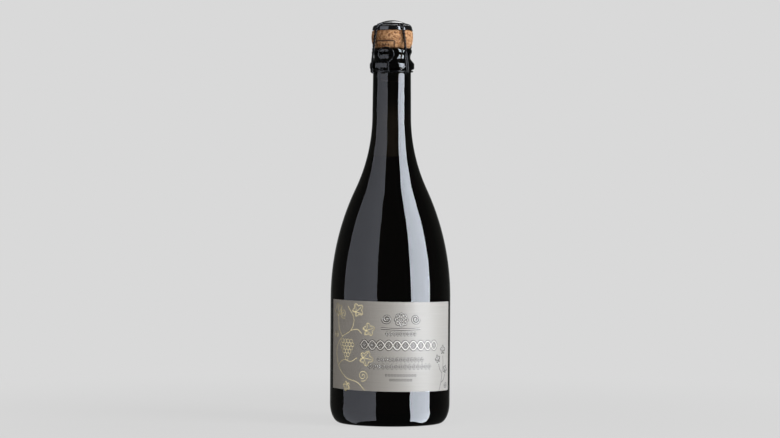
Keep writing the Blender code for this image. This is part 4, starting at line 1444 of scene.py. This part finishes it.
paper, tree, shader = new_material(
    "seamless_grey_paper", Base_Color=GROUND, Roughness=1.0, Specular_IOR_Level=0.0,
)
place = add(tree, "ShaderNodeTexCoord").outputs["Object"]
far = add(tree, "ShaderNodeVectorMath", {0: place}, operation="LENGTH").outputs["Value"]
fade = add(tree, "ShaderNodeMapRange", {
    "Value": far, "From Min": LIT_RADIUS, "From Max": FLOOR_RADIUS, "To Min": LIT_SHARE, "To Max": 0.0,
}, interpolation_type="SMOOTHSTEP")
glow = add(tree, "ShaderNodeEmission", {"Color": GROUND, "Strength": 1.0})
add(tree, "ShaderNodeMixShader", {
    0: fade, 1: glow, 2: shader.outputs["BSDF"],
}, to=tree.nodes["Material Output"].inputs["Surface"])
rim = level_circle(FLOOR_RADIUS, 0, FLOOR_SIDES)
whole = [tuple(range(FLOOR_SIDES))]
floor = stage_piece("floor", rim, whole, paper, ("glossy", "diffuse", "transmission"))
floor.location.z = -FLOOR_DROP
print("floor", 2 * FLOOR_RADIUS, "m across")

# %% [markdown]
# A card is a strip of a wide cylinder round the bottle, seen by mirror rays alone. Its rows
# each start and end at their own azimuths, because its image in the round shoulder is bent:
# the slant of the rows makes the bands in the glass as straight or as curved as they are. A
# black ring under the mouth keeps the cards' low ends off the undersides of the finish.

# %% Cards
LIGHT_DISTANCE = 1.6         # of cards and lamps from the bottle's axis
MIRROR_ONLY = ("camera", "diffuse", "transmission", "shadow")
CARD_STEPS = 24
FLAG_LEVEL = 262 * MM
FLAG_RADII = (22 * MM, 60 * MM)
FLAG_SIDES = 36
AIM = Vector((0, 0, (cad_low.z + cad_high.z) / 2))


def add_card(name, rows, colour, glow):
    """A card whose rows are an elevation and the azimuths where it starts and ends there.

    Its glow is a pair, the strength at its start and at its end.
    """
    count = len(rows)
    verts, faces = [], []
    for step in range(CARD_STEPS + 1):
        for elevation, start, end in rows:
            azimuth = start + (end - start) * step / CARD_STEPS
            level = AIM.z + LIGHT_DISTANCE * math.tan(math.radians(elevation))
            verts.append(around(LIGHT_DISTANCE, azimuth, level))
    for step in range(CARD_STEPS):
        for row in range(count - 1):
            first = step * count + row
            faces.append((first, first + count, first + count + 1, first + 1))
    material = bpy.data.materials.new(name + "_light")
    material.use_nodes = True
    tree = material.node_tree
    tree.nodes.clear()
    level = add(tree, "ShaderNodeAttribute", attribute_name="glow").outputs["Fac"]
    light = add(tree, "ShaderNodeEmission", {"Color": hex_colour(colour), "Strength": level})
    add(tree, "ShaderNodeOutputMaterial", {"Surface": light})
    card = stage_piece(name, verts, faces, material, MIRROR_ONLY)
    strengths = card.data.attributes.new("glow", "FLOAT", "POINT")
    for index, value in enumerate(strengths.data):
        value.value = glow[0] + (glow[1] - glow[0]) * (index // count) / CARD_STEPS


black_cloth, _, _ = new_material("black_cloth", Base_Color=(0.0, 0.0, 0.0, 1.0), Roughness=1.0)
inner, outer = (level_circle(radius, FLAG_LEVEL, FLAG_SIDES) for radius in FLAG_RADII)
quads = []
for side in range(FLAG_SIDES):
    after = (side + 1) % FLAG_SIDES
    quads.append((side, after, FLAG_SIDES + after, FLAG_SIDES + side))
stage_piece("neck_flag", inner + outer, quads, black_cloth, MIRROR_ONLY)
add_card("left_card", ((-55, -36, -133), (-12, -25.5, -100), (51.5, -25.5, -95)), "#eef2ff", (1.7, 1.06))
add_card("right_card", ((-55, 55, 113), (-12, 38.8, 81), (51.5, 38.8, 81)), "#edf4ff", (11.5, 13.2))
add_card("back_card", ((41, 180.5, 202), (56, 181, 208)), "#ffffff", (2.0, 1.4))
add_card("back_window", (
    (22, 172, 170.5), (34, 172.5, 167), (39, 176, 165), (42, 180.5, 164), (56, 181, 162),
), "#ffffff", (3.9, 3.9))
print("the lights aim at", round(AIM.z / MM, 1), "mm")


# %% Lamps
def add_lamp(name, azimuth, elevation, width, height, level, colour="#ffffff"):
    """A soft lamp that gives a surface that faces it a plain level of light."""
    data = bpy.data.lights.new(name, "AREA")
    data.shape = "RECTANGLE"
    data.size, data.size_y = width, height
    data.color = hex_colour(colour)[:3]
    data.energy = level * math.pi * math.pi * LIGHT_DISTANCE ** 2
    up = math.radians(elevation)
    towards = around(math.cos(up), azimuth, math.sin(up))
    lamp = show(name, data)
    lamp.location = AIM + towards * LIGHT_DISTANCE
    lamp.rotation_euler = towards.to_track_quat("Z", "Y").to_euler()
    lamp.visible_glossy = False
    lamp.visible_camera = False
    print(name, round(data.energy, 1), "W")


add_lamp("key_lamp", 62, 14, 0.8, 1.4, 1.15)
add_lamp("fill_lamp", -35, 14, 0.8, 1.4, 0.18, "#ffe9d4")
add_lamp("top_lamp", 10, 72, 1.0, 1.0, 0.2)

# %% [markdown]
# The photograph was taken from a little over two metres with a long lens, level with the
# bottle's shoulder, and the picture is turned by less than half a degree. A long lens keeps
# the bottle's sides nearly parallel, and the low eye level makes the label's edges sag.

# %% Camera
PICTURE_WIDTH = 780
SENSOR = 36.0
DISTANCE = 2.21
MM_PER_PIXEL = 0.7513 * MM   # at the bottle's axis
LENS_HEIGHT = 192 * MM
AIM_HEIGHT = 153 * MM        # where the middle of the picture meets the bottle's axis
AXIS_OFFSET = 1.0 * MM_PER_PIXEL
ROLL = 0.39
camera_data = bpy.data.cameras.new("camera")
camera_data.sensor_width = SENSOR
camera_data.lens = SENSOR * DISTANCE / MM_PER_PIXEL / PICTURE_WIDTH
camera_data.clip_end = 20.0
camera = show("camera", camera_data)
camera.location = (-AXIS_OFFSET, -DISTANCE, LENS_HEIGHT)
towards = Vector((-AXIS_OFFSET, 0, AIM_HEIGHT)) - Vector(camera.location)
turned = towards.to_track_quat("-Z", "Y").to_matrix() @ Matrix.Rotation(math.radians(ROLL), 3, "Z")
camera.rotation_euler = turned.to_euler()
bpy.context.scene.camera = camera
bpy.context.scene.view_settings.view_transform = "Standard"
print("lens", round(camera_data.lens, 1), "mm")

# %% [markdown]
# Last, the box of everything that shows is printed, to set beside the imported model's.

# %% Box of what shows
low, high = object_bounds()
print("visual box", [round(value / MM, 2) for value in (*low, *high)])
